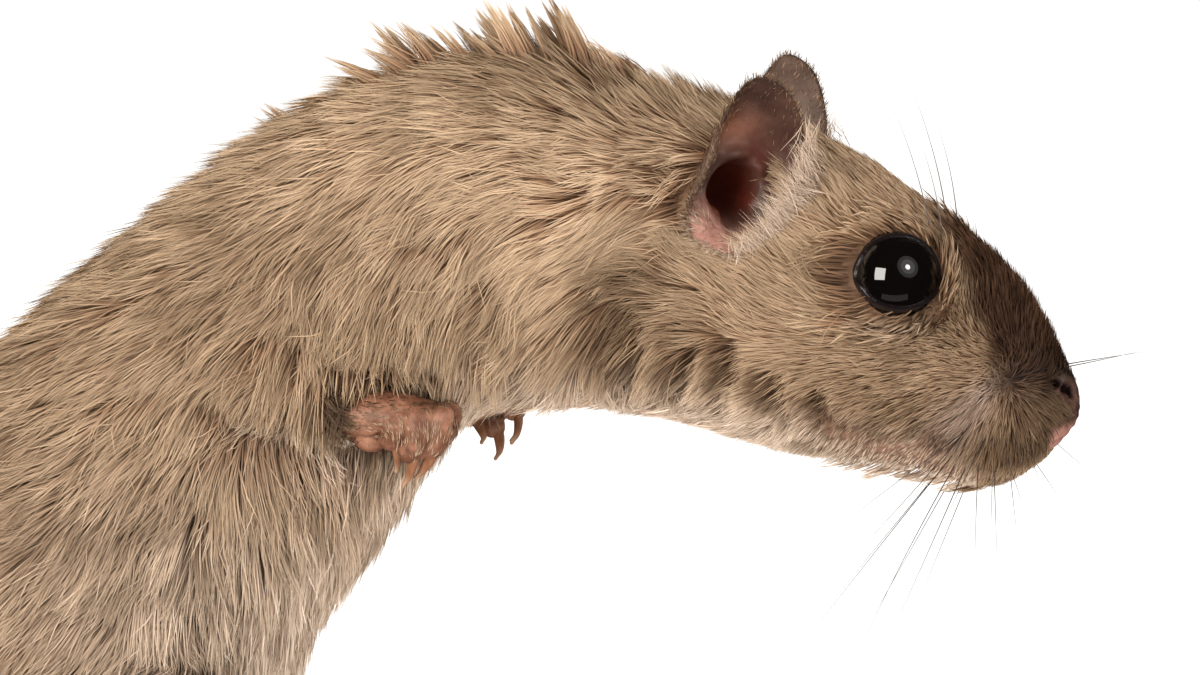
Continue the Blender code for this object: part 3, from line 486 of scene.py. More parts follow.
def foot_forms(side):
    path = [HEEL, HEEL + (7, 0.3, -0.35), HEEL + (14, 0.6, -0.7), TOE_BASE, TOE_BASE + (2.5, 0, -0.4)]
    radii = ((2.5, 2.7), (2.4, 2.5), (2.6, 2.3), (3.1, 1.8), (2.6, 1.1))
    forms = [tube_form(FOOT, [p * mirrored(side) for p in path], radii, 36, 40, inset=0.3)]
    for toe in range(len(TOES)):
        start, end = toe_ends(side, toe)
        joint = start * 0.5 + end * 0.5 + (0, 0, 0.3)
        forms.append(tube_form(FOOT, (start, joint, end), (TOE_RADIUS,) * 3, 20, 16, inset=0.12))
        for share, size in ((0.45, 0.85), (1.0, 0.95)):
            spot = start + (end - start) * share + (0, 0, -0.25)
            forms.append(ball_form(FOOT, spot, (1.1, size * 0.85, 0.75), np.eye(3), 20, 12))
    return forms


def arm_form(side):
    elbow, wrist = (p * mirrored(side) + arm_shift(side) for p in (ELBOW, WRIST))
    inward = np.array((0, -1.1 * side, 0))
    path = (elbow + inward, (elbow + wrist) / 2 + inward * 0.5, wrist)
    return tube_form(ARM, path, (ARM_RADII[0] - 1.6, ARM_RADII[1] - 1.2, ARM_RADII[2] - 0.7), 30, 20)


def finger_path(side, finger):
    step, across, curl = FINGERS[finger]
    rise = FINGER_RISE * (side > 0 and finger >= FIRST_RAISED_FINGER)
    bends = FINGER_BENDS[side]
    bends = bends * np.where(bends < -1, (1, 1, curl), 1) + (0, 0, rise)
    bends[:, 0] -= step * FINGERS_DRAWN_IN[side]
    return (KNUCKLES + (step, across, 0) + bends) * mirrored(side) + arm_shift(side)


def paw_forms(side):
    """The palm, four bent fingers with knuckles and pads, and the stub of a thumb."""
    palm = (WRIST - (1.2, 0, 0), WRIST * 0.4 + KNUCKLES * 0.6, KNUCKLES)
    path = [p * mirrored(side) + arm_shift(side) for p in palm]
    forms = [tube_form(PAW, path, ((1.9, 1.8), (2.3, 2.1), (1.9, 1.5)), 30, 20, inset=0.12)]
    for finger in range(len(FINGERS)):
        bends = finger_path(side, finger)
        radii = [FINGER_RADIUS * r for r in (0.9, 1.05, 1.0, 0.85)]
        forms.append(tube_form(PAW, bends, radii, 20, 20, inset=0.14))
        knuckle, pad = bends[1] + (0.15, 0.1 * side, 0.1), bends[3] + (-0.35, 0, 0.15)
        for spot, size in ((knuckle, (0.9, 0.86, 0.86)), (pad, (0.85, 0.8, 0.95))):
            forms.append(ball_form(PAW, spot, size, np.eye(3), 18, 12))
    for finger in (0, 1):
        web = (finger_path(side, finger) + finger_path(side, finger + 1)) / 2
        forms.append(tube_form(PAW, web[:3], (0.85, 0.72, 0.5), 20, 20))
    thumb = WRIST + (1.9, 0.6, -1.7)
    heel = KNUCKLES + (-2.4, 0.2, -1.3)
    for spot, size in ((thumb, (1.3, 1.0, 0.9)), (heel, (1.5, 1.2, 0.9))):
        forms.append(ball_form(PAW, spot * mirrored(side) + arm_shift(side), size, np.eye(3), 20, 14))
    return forms


def tail_form():
    return tube_form(TAIL, TAIL_PATH, TAIL_RADII, 24, 220, end=len(TAIL_PATH) - 1.12, inset=0.75)


def eye_mound(side):
    """The low mound of the head round an eye."""
    axes = eye_frame(side)
    return ball_form(TRUNK, EYE * mirrored(side) - axes[2] * 0.2, (4.6, 4.2, 2.45), axes, 40, 24)


def placed(name, data):
    """An object in the scene that shows this data."""
    made = bpy.data.objects.new(name, data)
    bpy.context.scene.collection.objects.link(made)
    return made


def new_object(name, points, faces):
    mesh = bpy.data.meshes.new(name)
    mesh.from_pydata((np.asarray(points) * MM).tolist(), [], faces)
    return placed(name, mesh)


def vectors_of(mesh, field):
    """The places or the normals of the points of a mesh."""
    out = np.empty(len(mesh.vertices) * 3, np.float32)
    mesh.vertices.foreach_get(field, out)
    return out.reshape(-1, 3).astype(float)


def mark(mesh, label, values):
    """Keeps a value or a vector a point under a name that materials read."""
    kind, field = ("FLOAT", "value") if values.ndim == 1 else ("FLOAT_VECTOR", "vector")
    layer = mesh.attributes.new(label, kind, "POINT")
    layer.data.foreach_set(field, values.astype(np.float32).ravel())


def join_forms(forms):
    points = np.concatenate([f.points for f in forms])
    faces, base = [], 0
    for f in forms:
        faces += [[i + base for i in face] for face in f.faces]
        base += len(f.points)
    return points, faces


def melt(name, forms, pitch, rounds):
    """One even skin over all the forms, with its creases smoothed."""
    made = new_object(name, *join_forms(forms))
    remesh = made.modifiers.new("melt", "REMESH")
    remesh.mode = "VOXEL"
    remesh.voxel_size = pitch * MM
    smooth = made.modifiers.new("smooth", "SMOOTH")
    smooth.factor, smooth.iterations = 0.5, rounds
    mesh = bpy.data.meshes.new_from_object(made.evaluated_get(bpy.context.evaluated_depsgraph_get()))
    bpy.data.objects.remove(made)
    points = vectors_of(mesh, "co") / MM
    faces = [tuple(p.vertices) for p in mesh.polygons]
    bpy.data.meshes.remove(mesh)
    return points, faces


def fine_mesh(name, points, triangles, marks, normals, patch):
    """A mesh from arrays: marks are (name, values a point), and patch is the place of each point on
    OFBake."""
    mesh = bpy.data.meshes.new(name)
    mesh.vertices.add(len(points))
    mesh.vertices.foreach_set("co", (points * MM).astype(np.float32).ravel())
    mesh.loops.add(triangles.size)
    mesh.loops.foreach_set("vertex_index", triangles.astype(np.int32).ravel())
    mesh.polygons.add(len(triangles))
    starts = np.arange(0, triangles.size, triangles.shape[1], dtype=np.int32)
    mesh.polygons.foreach_set("loop_start", starts)
    mesh.update(calc_edges=True)
    for label, values in marks:
        mark(mesh, label, values)
    layer = mesh.uv_layers.new(name="OFBake")
    layer.uv.foreach_set("vector", patch[triangles.ravel()].astype(np.float32).ravel())
    mesh.shade_smooth()
    mesh.normals_split_custom_set_from_vertices(normals.astype(np.float32))
    return placed(name, mesh)


def ring_faces(rows, sides):
    """Quads over rings of points."""
    a = (np.arange(rows - 1)[:, None] * sides + np.arange(sides)).ravel()
    b = (np.arange(rows - 1)[:, None] * sides + (np.arange(sides) + 1) % sides).ravel()
    return np.stack([a, b, b + sides, a + sides], -1)


def last_fan(rows, sides, apex):
    """Triangles from the last ring to the point after it."""
    base = (rows - 1) * sides
    return [(base + (k + 1) % sides, base + k, apex) for k in range(sides)]


def closed_faces(rows, sides):
    """Quads over rings, with triangles to the two end points that follow the rings."""
    first = [(k, (k + 1) % sides, rows * sides) for k in range(sides)]
    return ring_faces(rows, sides).tolist() + first + last_fan(rows, sides, rows * sides + 1)


def dress(made, material, nodes=()):
    """Gives a piece its material, its body and the nodes that it stands for."""
    made.data.materials.clear()
    made.data.materials.append(material)
    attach(made, BODY)
    if nodes:
        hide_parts(*nodes)
    return made


# The rim of an ear, from its peak over the front edge and round: across, up and out of the plane of
# its opening.
EAR_RIM = (
    (0.0, 10.3, 0.0), (2.4, 9.3, 0.0), (3.9, 7.2, 0.0), (4.6, 5.0, 0.1), (4.7, 3.0, 0.4),
    (4.4, 1.0, 1.0),
    (3.9, -0.9, 1.5), (2.6, -2.4, 1.8), (0.4, -2.9, 1.9), (-1.8, -2.6, 1.8), (-3.7, -1.7, 1.5),
    (-4.4, -0.3, 1.1),
    (-4.0, 1.3, 0.6), (-3.2, 2.8, 0.2), (-2.5, 4.6, 0.0), (-2.3, 6.8, 0.0), (-1.5, 9.0, 0.0),
)
CANAL_MOUTH, CANAL_SIZE = np.array((0.15, 1.3, -2.0)), (2.0, 2.6)
# Folds inside the cup: across, up, spread across and up, and height.
EAR_FOLDS = (
    (-1.9, 4.7, 1.0, 0.6, 0.6), (0.0, 4.3, 1.3, 0.5, 0.8), (2.1, 3.2, 1.0, 0.8, 0.8),
    (2.7, 1.4, 0.8, 1.3, 0.7),
    (-2.9, -0.4, 1.1, 1.2, 1.2), (0.2, -1.9, 1.4, 0.5, 0.45), (1.2, 7.2, 0.5, 1.6, 0.2),
    (-1.0, 7.0, 0.5, 1.4, 0.15),
)


def closed_spline(rows, t):
    """Points on the closed Catmull-Rom curve through rows."""
    rows, count = np.asarray(rows, float), len(rows)
    i = np.floor(t).astype(int)
    f = (t - i)[:, None]
    return curve_between(*(rows[(i + k) % count] for k in (-1, 0, 1, 2)), f)


def ear_axes():
    """Across and up in the plane of the left ear's opening, and out of it."""
    across = np.array((math.cos(EAR_TURN), -math.sin(EAR_TURN), 0))
    out = np.array((math.sin(EAR_TURN), math.cos(EAR_TURN), 0))
    return across, unit(EAR_TIP - EAR_ROOT), out


def from_ear(local, side):
    """Turns places across, up and out of an ear's opening into places on the animal."""
    return (EAR_ROOT + local @ np.array(ear_axes())) * mirrored(side)


def cup_point(rim, around, share, folded=1.0):
    """Inner surface of the ear: share runs from 0 at the rim to 1 at the mouth of the canal and on
    into it."""
    share = np.broadcast_to(np.asarray(share, float), around.shape)[..., None]
    mouth = mouth_point(around)
    middle = CANAL_MOUTH * (1, 1, 0) + mouth * (0, 0, 1)
    cup, canal = rim + (mouth - rim) * np.minimum(share, 1), middle + (mouth - middle) * (2 - share)
    point = np.where(share <= 1, cup, canal)
    sink = np.sin(np.pi * np.clip(share[..., 0], 0, 0.92))
    point[..., 2] -= 1.25 * sink * smooth_step(-3.0, 3.0, rim[..., 1]) * (share[..., 0] <= 1)
    lift = np.zeros(around.shape)
    for a, b, wide, tall, height in EAR_FOLDS:
        lift += height * np.exp(-((point[..., 0] - a) / wide) ** 2 - ((point[..., 1] - b) / tall) ** 2)
    fade = smooth_step(0.0, 0.2, share[..., 0]) * (1 - smooth_step(0.97, 1.12, share[..., 0]))
    point[..., 2] += lift * folded * fade
    return point


def mouth_point(around):
    """The mouth of the canal in the direction around, drawn out to a notch at its lower end."""
    reach = 1 / np.hypot(np.cos(around) / CANAL_SIZE[0], np.sin(around) / CANAL_SIZE[1])
    gap = np.angle(np.exp(1j * (around + 1.25)))
    lobe = np.angle(np.exp(1j * (around + 2.3)))
    notch = -0.2 * np.exp(-((np.abs(gap) - 0.8) / 0.4) ** 2) + 0.16 * np.exp(-((gap / 0.35) ** 2))
    reach = reach * (1 + notch)
    reach = reach * (1 - 0.24 * np.exp(-((lobe / 0.6) ** 2)))
    return CANAL_MOUTH + np.stack([np.cos(around) * reach, np.sin(around) * reach, 0 * reach], -1)


def pit_depth(across, high):
    """How far out of the ear's opening the skin may reach, so that it stays behind the cup and the
    canal."""
    rim = closed_spline(EAR_RIM, np.arange(400) / 400 * len(EAR_RIM))
    turn = np.arctan2(rim[:, 1] - CANAL_MOUTH[1], rim[:, 0] - CANAL_MOUTH[0])
    order = np.argsort(turn)
    around = np.arctan2(high - CANAL_MOUTH[1], across - CANAL_MOUTH[0])
    turn, rim = turn[order], rim[order]
    near = np.stack([np.interp(around, turn, rim[:, i], period=2 * np.pi) for i in range(3)], -1)
    far = np.linalg.norm((near - CANAL_MOUTH)[:, :2], axis=1)
    mouth = np.linalg.norm((mouth_point(around) - CANAL_MOUTH)[:, :2], axis=1)
    here = np.hypot(across - CANAL_MOUTH[0], high - CANAL_MOUTH[1])
    share = (far - here) / (far - mouth)
    cup = cup_point(near, around, np.clip(share, 0, 1), 0.0)[:, 2]
    cup = cup - 0.3 - 0.8 * smooth_step(0, 1, share)
    canal = CANAL_MOUTH[2] - 1.4 - 8.0 * (1 - here / mouth)
    return np.where(share > 1, canal, cup), share


# Markings, the same for the skin and the coat.

# The rear edge of the mask: height, and x there.
MASK_EDGE = (
    (46.8, 91.8), (48.0, 91.8), (50.0, 90.9), (52.6, 89.7), (56.3, 88.3), (58.3, 87.2), (60.5, 85.4),
    (63, 83),
)


def mask_and_painted_shade(points):
    """The dark mask on the bridge of the nose, and painted shade in the recess where the fur overhangs
    the hand.
    """
    heights, edges = zip(*MASK_EDGE)
    wobble = waves(points, 3.0, 5) * 0.35
    inside = smooth_step(-0.9, 0.9, points[:, 0] + wobble - np.interp(points[:, 2], heights, edges))
    fade = 1 - 0.55 * smooth_step(58.0, 62.5, points[:, 2])
    nose = smooth_step(45.2, 47.6, points[:, 2] + waves(points, 2.0, 6) * 0.3)
    # Painted shade: the recess over the hand, darkened with the mask's colour.
    painted_shade_over_hand = 0.85 * np.exp(-(((points[:, 0] - 45.8) / 4.4) ** 4) - ((points[:, 2] - 46.7) / 1.1) ** 2)
    return np.maximum(inside * fade * nose, painted_shade_over_hand)


def under_share(points, normals):
    """The pale underside: throat, chest, belly and the inside of the limbs."""
    facing = smooth_step(0.15, 0.95, -normals[:, 2])
    chest = bell(points, 36, 32, 13, 9)
    throat = bell(points, 63, 43.5, 9, 3.2)
    return np.clip(facing * 0.85 + chest * 0.75 + throat * 0.6, 0, 1) * (points[:, 0] < 90)


def grey_share(points):
    """Pale greyish hair that leads from the whorl of the whisker pad to the corner of the mouth."""
    start, end = np.array(WHORL), np.array((89.0, 44.6))
    line = end - start
    share = np.clip(((points[:, ::2] - start) @ line) / (line @ line), 0.12, 1.1)
    gap = np.linalg.norm(points[:, ::2] - start - share[:, None] * line, axis=1)
    far = np.linalg.norm(points[:, ::2] - start, axis=1)
    return 0.95 * np.exp(-((gap / (0.45 + 0.22 * far)) ** 2))


def jaw_share(points):
    """Thin hair over pink skin, along the lower edge of the jaw."""
    return bell(points, 83.5, 41.0, 4.5, 1.6)


def chin_share(points, normals):
    """The underside of the jaw, where short thin hair leaves the skin in sight."""
    along_jaw = smooth_step(76.5, 80.0, points[:, 0]) * (1 - smooth_step(89.0, 91.0, points[:, 0]))
    return smooth_step(0.15, 0.7, -normals[:, 2]) * along_jaw * (points[:, 2] < 46)


def parting_share(points):
    """How far the coat is open here, so that its dark ground shows; it also sets the painted shade
    there.
    """
    shade = np.zeros(len(points))
    for x, z, wide, tall, strength in PARTINGS:
        shade = np.maximum(shade, strength * bell(points, x, z, wide, tall))
    return np.maximum(shade, pleat_share(points, 0.0, PLEAT_WIDTH))


def pleat_share(points, beyond, wide):
    """How near points lie to the line at this distance ahead of a pleat's edge."""
    edge = points[:, 0] - beyond + 0.25 * waves(points, 2.5, 15)
    shade = np.zeros(len(points))
    for x, z, tall, strength, lean in PLEATS:
        rise = points[:, 2] - z
        near = np.exp(-((edge - x - lean * rise) / wide) ** 2 - (rise / tall) ** 4)
        shade = np.maximum(shade, strength * near)
    return shade


def tone_of(points, normals):
    """How much lighter the coat is here than elsewhere, with painted light and shade at the pleats, the
    partings and the recess over the hand.
    """
    # Painted highlight on the tips that end at each pleat's edge, and painted shade on the start of the
    # next row.
    tone = 1.4 * pleat_share(points, 1.7, 0.9) - 1.6 * pleat_share(points, -0.55, 0.55)
    # Painted shade on the hair in the partings.
    tone = tone - 1.1 * parting_share(points)
    for x, z, wide, tall, lighter in AREAS:
        tone += lighter * bell(points, x, z, wide, tall)
    tone *= 1 - 0.8 * smooth_step(0.3, 0.8, -normals[:, 2])
    for side in SIDES.values():
        ahead, up, out = eye_frame(side)
        local = points - EYE * mirrored(side)
        ring = np.hypot((local @ ahead) / 3.5, (local @ up) / 3.1)
        tone -= 1.6 * (1 - smooth_step(1.0, 1.3, ring)) * (local @ out > EYE_PLANE)
        behind = np.exp(-(((local @ ahead + 4.2) / 0.8) ** 2) - ((local @ up + 0.1) / 0.9) ** 2)
        tone -= 1.1 * behind * (local @ out > -4)
    return tone


def marks_of(points, normals):
    """Mask with the painted shade over the hand, underside and grey, as one vector a point."""
    return np.stack([mask_and_painted_shade(points), under_share(points, normals), grey_share(points)], -1)


def ear_plane(points, side):
    """Places across, up and out of the plane of an ear's opening."""
    local = points * mirrored(side) - EAR_ROOT
    return (local @ np.linalg.inv(np.array(ear_axes()))).T


def bare_share(points, normals, part):
    """Where no hair grows: the lids, the inside of the ears, the nose, the soles and the floor."""
    bare = np.zeros(len(points))
    for side in SIDES.values():
        ahead, up, out = eye_frame(side)
        local = points - EYE * mirrored(side)
        a, b, c = local @ ahead, local @ up, local @ out
        rim = np.sqrt((a / 3.35) ** 2 + (b / 2.95) ** 2)
        bare = np.maximum(bare, (1 - smooth_step(0.97, 1.05, rim)) * (c > EYE_PLANE) * (np.abs(c) < 6))
        across, high, deep = ear_plane(points, side)
        limit, share = pit_depth(across, high)
        pit = smooth_step(-0.02, 0.02, share) * (points[:, 1] * side > 1) * (deep > limit - 1.2)
        bare = np.maximum(bare, pit)
    flat = np.stack([points[:, 0], np.abs(points[:, 1]), points[:, 2]], -1)
    nostril = np.linalg.norm((flat - (96.4, 2.0, 46.4)) / (1.2, 1.3, 0.95), axis=1)
    lip = smooth_step(44.2, 43.9, points[:, 2]) * smooth_step(94.8, 95.3, points[:, 0])
    tip = smooth_step(96.6, 96.9, points[:, 0])
    bare = np.maximum.reduce([bare, 1 - smooth_step(0.9, 1.1, nostril), lip, tip])
    sole = (part == FOOT) | (part == PAW)
    return np.maximum(bare, smooth_step(0.2, 0.6, -normals[:, 2]) * sole)


# The lie of the coat.

def comb_way(points):
    """The way that hair lies on the trunk, in the plane of the side, and how high its tips stand."""
    rows = np.array(COMB)
    gap = ((points[:, None, ::2] - rows[None, :, :2]) ** 2).sum(-1) / (2 * rows[:, 4] ** 2)
    weight = np.exp(-(gap - gap.min(1, keepdims=True)))
    weight /= weight.sum(1, keepdims=True)
    angle = np.radians(rows[:, 2])
    ways = np.stack([-np.cos(angle), np.zeros(len(rows)), -np.sin(angle)], -1)
    return weight @ ways, weight @ rows[:, 3]


def lie_of(points, normals, part, lie, ahead_by=0.0):
    """The way of the hair along the skin, here or as it lies ahead by some vectors, and how high its
    tips stand."""
    way, stand = comb_way(points + ahead_by)
    limb = np.isin(part, (SHANK, FOOT, PAW, TAIL))
    way = np.where(limb[:, None], lie, way)
    wrist = smooth_step(40.0, 42.5, points[:, 0]) * (part == ARM)
    way = way + (lie - way) * wrist[:, None]
    under = np.clip(-normals[:, 2] - 0.5, 0, 1)[:, None] * ~limb[:, None]
    way = way + under * np.stack([-0.9 + 0 * part, -0.5 * np.sign(points[:, 1]), 0 * part], -1)
    way = flat_part(way, normals)
    for side in SIDES.values():
        ahead, up, out = eye_frame(side)
        local = points - EYE * mirrored(side)
        a, b = local @ ahead, local @ up
        ring = np.hypot(a / EYE_WIDE, b / EYE_HIGH)
        away = unit((a / EYE_WIDE**2)[:, None] * ahead + (b / EYE_HIGH**2)[:, None] * up)
        near = (1 - smooth_step(1.15, 1.8, ring)) * (local @ out > EYE_PLANE)
        inward = np.maximum(-(way * away).sum(1), 0) * near
        way = way + away * inward[:, None] * 0.93
        way = flat_part(way, normals)
    return way, stand


# How fine the skin of the body and of the feet is, in mm, and how often its creases are smoothed.
BODY_MELT, FEET_MELT = (0.5, 5), (0.24, 2)


class Skin:
    """The skin as arrays, with what each point knows of the coat."""

    def __init__(self):
        body = [trunk_form(), tube_form(TRUNK, JAW_PATH, JAW_RADII, 30, 30, inset=0.8), tail_form()]
        ends = []
        for side in SIDES.values():
            body += [eye_mound(side), thigh_form(side), shank_form(side), arm_form(side)]
            ends += foot_forms(side) + paw_forms(side)
        coarse = melt("body", body, *BODY_MELT)
        fine = melt("feet", ends, *FEET_MELT)
        self.points = np.concatenate([coarse[0], fine[0]])
        self.faces = coarse[1] + [tuple(i + len(coarse[0]) for i in face) for face in fine[1]]
        self.points[:, 2] = np.maximum(self.points[:, 2], SKIN_OVER_FLOOR)
        self.open_ears()
        self.points -= unit(self.points - NOSE_MIDDLE) * 2.2 * nostril_share(self.points)[:, None]
        self.know(body, len(coarse[0]), ends)
        self.made = new_object("skin", self.points, self.faces)
        self.made.data.shade_smooth()
        mesh = self.made.data
        self.normals = vectors_of(mesh, "normal")
        mesh.calc_loop_triangles()
        triangles = np.empty(len(mesh.loop_triangles) * 3, np.int32)
        mesh.loop_triangles.foreach_get("vertices", triangles)
        self.triangles = triangles.reshape(-1, 3)
        self.tree = BVHTree.FromPolygons(self.points.tolist(), self.triangles.tolist())

    def hollow_share(self):
        """How deep each point lies in a crease, from how far the skin round it rises above it; the bare
        skin is painted darker there as painted shade.
        """
        mesh = self.made.data
        ends = np.empty(len(mesh.edges) * 2, np.int32)
        mesh.edges.foreach_get("vertices", ends)
        partner = ends.reshape(-1, 2)[:, ::-1].ravel()
        count = np.bincount(ends, minlength=len(self.points))
        place = self.points
        for _ in range(8):
            place = np.stack([np.bincount(ends, place[partner, i]) / count for i in range(3)], -1)
        return smooth_step(0.01, 0.09, ((place - self.points) * self.normals).sum(1))

    def open_ears(self):
        """Pushes the skin back behind the cup and the canal of each ear."""
        out = ear_axes()[2]
        for side in SIDES.values():
            across, high, deep = ear_plane(self.points, side)
            limit, share = pit_depth(across, high)
            inside = (share > 0) & (self.points[:, 1] * side > 1) & (deep > limit)
            push = np.where(inside, limit - deep, 0)
            self.points += push[:, None] * out * mirrored(side)

    def know(self, body, count, ends):
        """Each point takes its part, level, patch and lie from the nearest form."""
        self.part, self.level = np.zeros(len(self.points), int), np.zeros(len(self.points))
        self.patch, self.lie = np.zeros((len(self.points), 2)), np.zeros((len(self.points), 3))
        for forms, first, last in ((body, 0, count), (ends, count, len(self.points))):
            points, faces = join_forms(forms)
            tree = BVHTree.FromPolygons(points.tolist(), faces)
            corner = np.array([face[0] for face in faces])
            near = corner[[tree.find_nearest(p)[2] for p in self.points[first:last].tolist()]]
            for label in ("part", "level", "patch", "lie"):
                known = np.concatenate([getattr(f, label) for f in forms])
                getattr(self, label)[first:last] = known[near]

    def nearest(self, spots):
        found = [self.tree.find_nearest(p) for p in spots.tolist()]
        at = np.array([f[0] for f in found])
        corner = self.triangles[[f[2] for f in found]]
        return at, unit(self.normals[corner].sum(1))

    def roots(self, density, draw):
        """Random places on the skin, as many to a square mm as density asks at each point."""
        corners = self.points[self.triangles]
        spans = corners[:, 1:] - corners[:, :1]
        area = np.linalg.norm(np.cross(spans[:, 0], spans[:, 1]), axis=1) / 2
        share = np.cumsum(area * density[self.triangles].mean(1))
        picks = np.searchsorted(share, draw.uniform(0, share[-1], int(share[-1])))
        a, b = draw.uniform(size=(2, len(picks)))
        swap = a + b > 1
        a[swap], b[swap] = 1 - a[swap], 1 - b[swap]
        mix = np.stack([1 - a - b, a, b], -1)[..., None]
        chosen = self.triangles[picks]
        place, normal = ((values[chosen] * mix).sum(1) for values in (self.points, self.normals))
        return place, unit(normal), chosen[:, 0]


class Hairs:
    """Flat tapered hairs as arrays: three control points each, and what colours and shapes them."""

    LABELS = (
        "root", "bend", "tip", "normal", "tip_normal", "width", "roll", "tone", "marks", "patch", "part",
        "level",
    )

    def __init__(self, **values):
        for label in self.LABELS:
            setattr(self, label, values[label])

    def pick(self, keep):
        return Hairs(**{label: getattr(self, label)[keep] for label in self.LABELS})


def nearest_of(places, centres):
    """For each place the number of the nearest centre."""
    tree = KDTree(len(centres))
    for i, spot in enumerate(centres.tolist()):
        tree.insert(spot, i)
    tree.balance()
    return np.array([tree.find(p)[1] for p in places.tolist()])


def gather(hairs, every, pull, draw, spare):
    """Draws the tips of neighbouring hairs together to locks, one lock for about every so many hairs."""
    count = max(int(len(hairs.root) / every), 1)
    heads = draw.choice(len(hairs.root), count, replace=False)
    mine = heads[nearest_of(hairs.root, hairs.root[heads])]
    offset = hairs.root - hairs.root[mine]
    pull = (pull * spare * draw.uniform(0.3, 1.4, len(offset))[mine])[:, None]
    for label, share in (("bend", 0.35), ("tip", 1.0)):
        place = getattr(hairs, label)
        goal = getattr(hairs, label)[mine] + offset * (1 - 0.8 * share)
        setattr(hairs, label, place + (goal - place) * pull * share)
    return mine


# Length, height, width and number to a square mm of the hair away from the trunk.
PART_LENGTH = {THIGH: 6.2, SHANK: 3.4, FOOT: 1.0, ARM: 4.0, PAW: 0.7}
PART_DEPTH = {THIGH: 2.7, SHANK: 1.5, FOOT: 0.28, ARM: 0.9, PAW: 0.14}
PART_WIDTH = {THIGH: 0.18, SHANK: 0.14, FOOT: 0.09, ARM: 0.12, PAW: 0.06}
PART_DENSITY = {THIGH: 17, SHANK: 20, FOOT: 22, ARM: 24, PAW: 16}
TAIL_DENSITY, TAIL_HAIR_WIDTH = 22, 0.13
# Hairs to a lock and to a wisp, and how strongly each draws its hairs together.
LOCK_SIZE, LOCK_PULL = 130, 0.32
WISP_SIZE, WISP_PULL = 9, 0.55


def by_part(table, along_trunk, part, level):
    out = along(along_trunk, level)
    for key, value in table.items():
        out = np.where(part == key, value, out)
    return out


def face_share(root, trunk):
    """How much shorter hair is close to the eyes and round the whorl of the whisker pad."""
    share = np.ones(len(root))
    for side in SIDES.values():
        ahead, up, out = eye_frame(side)
        local = root - EYE * mirrored(side)
        ring = np.hypot((local @ ahead) / EYE_WIDE, (local @ up) / EYE_HIGH)
        near = (1 - smooth_step(1.05, 1.9, ring)) * (local @ out > EYE_PLANE) * (local @ ahead > -2.5)
        share *= 1 - 0.72 * near * trunk
    gap = np.hypot(root[:, 0] - WHORL[0], root[:, 2] - WHORL[1])
    share = share * (1 - 0.45 * np.exp(-((gap / 1.4) ** 2)) * trunk)
    split = np.hypot(root[:, 0] - EYE_SPLIT[0], root[:, 2] - EYE_SPLIT[1])
    return share * (1 - 0.5 * np.exp(-((split / 1.5) ** 2)) * trunk)


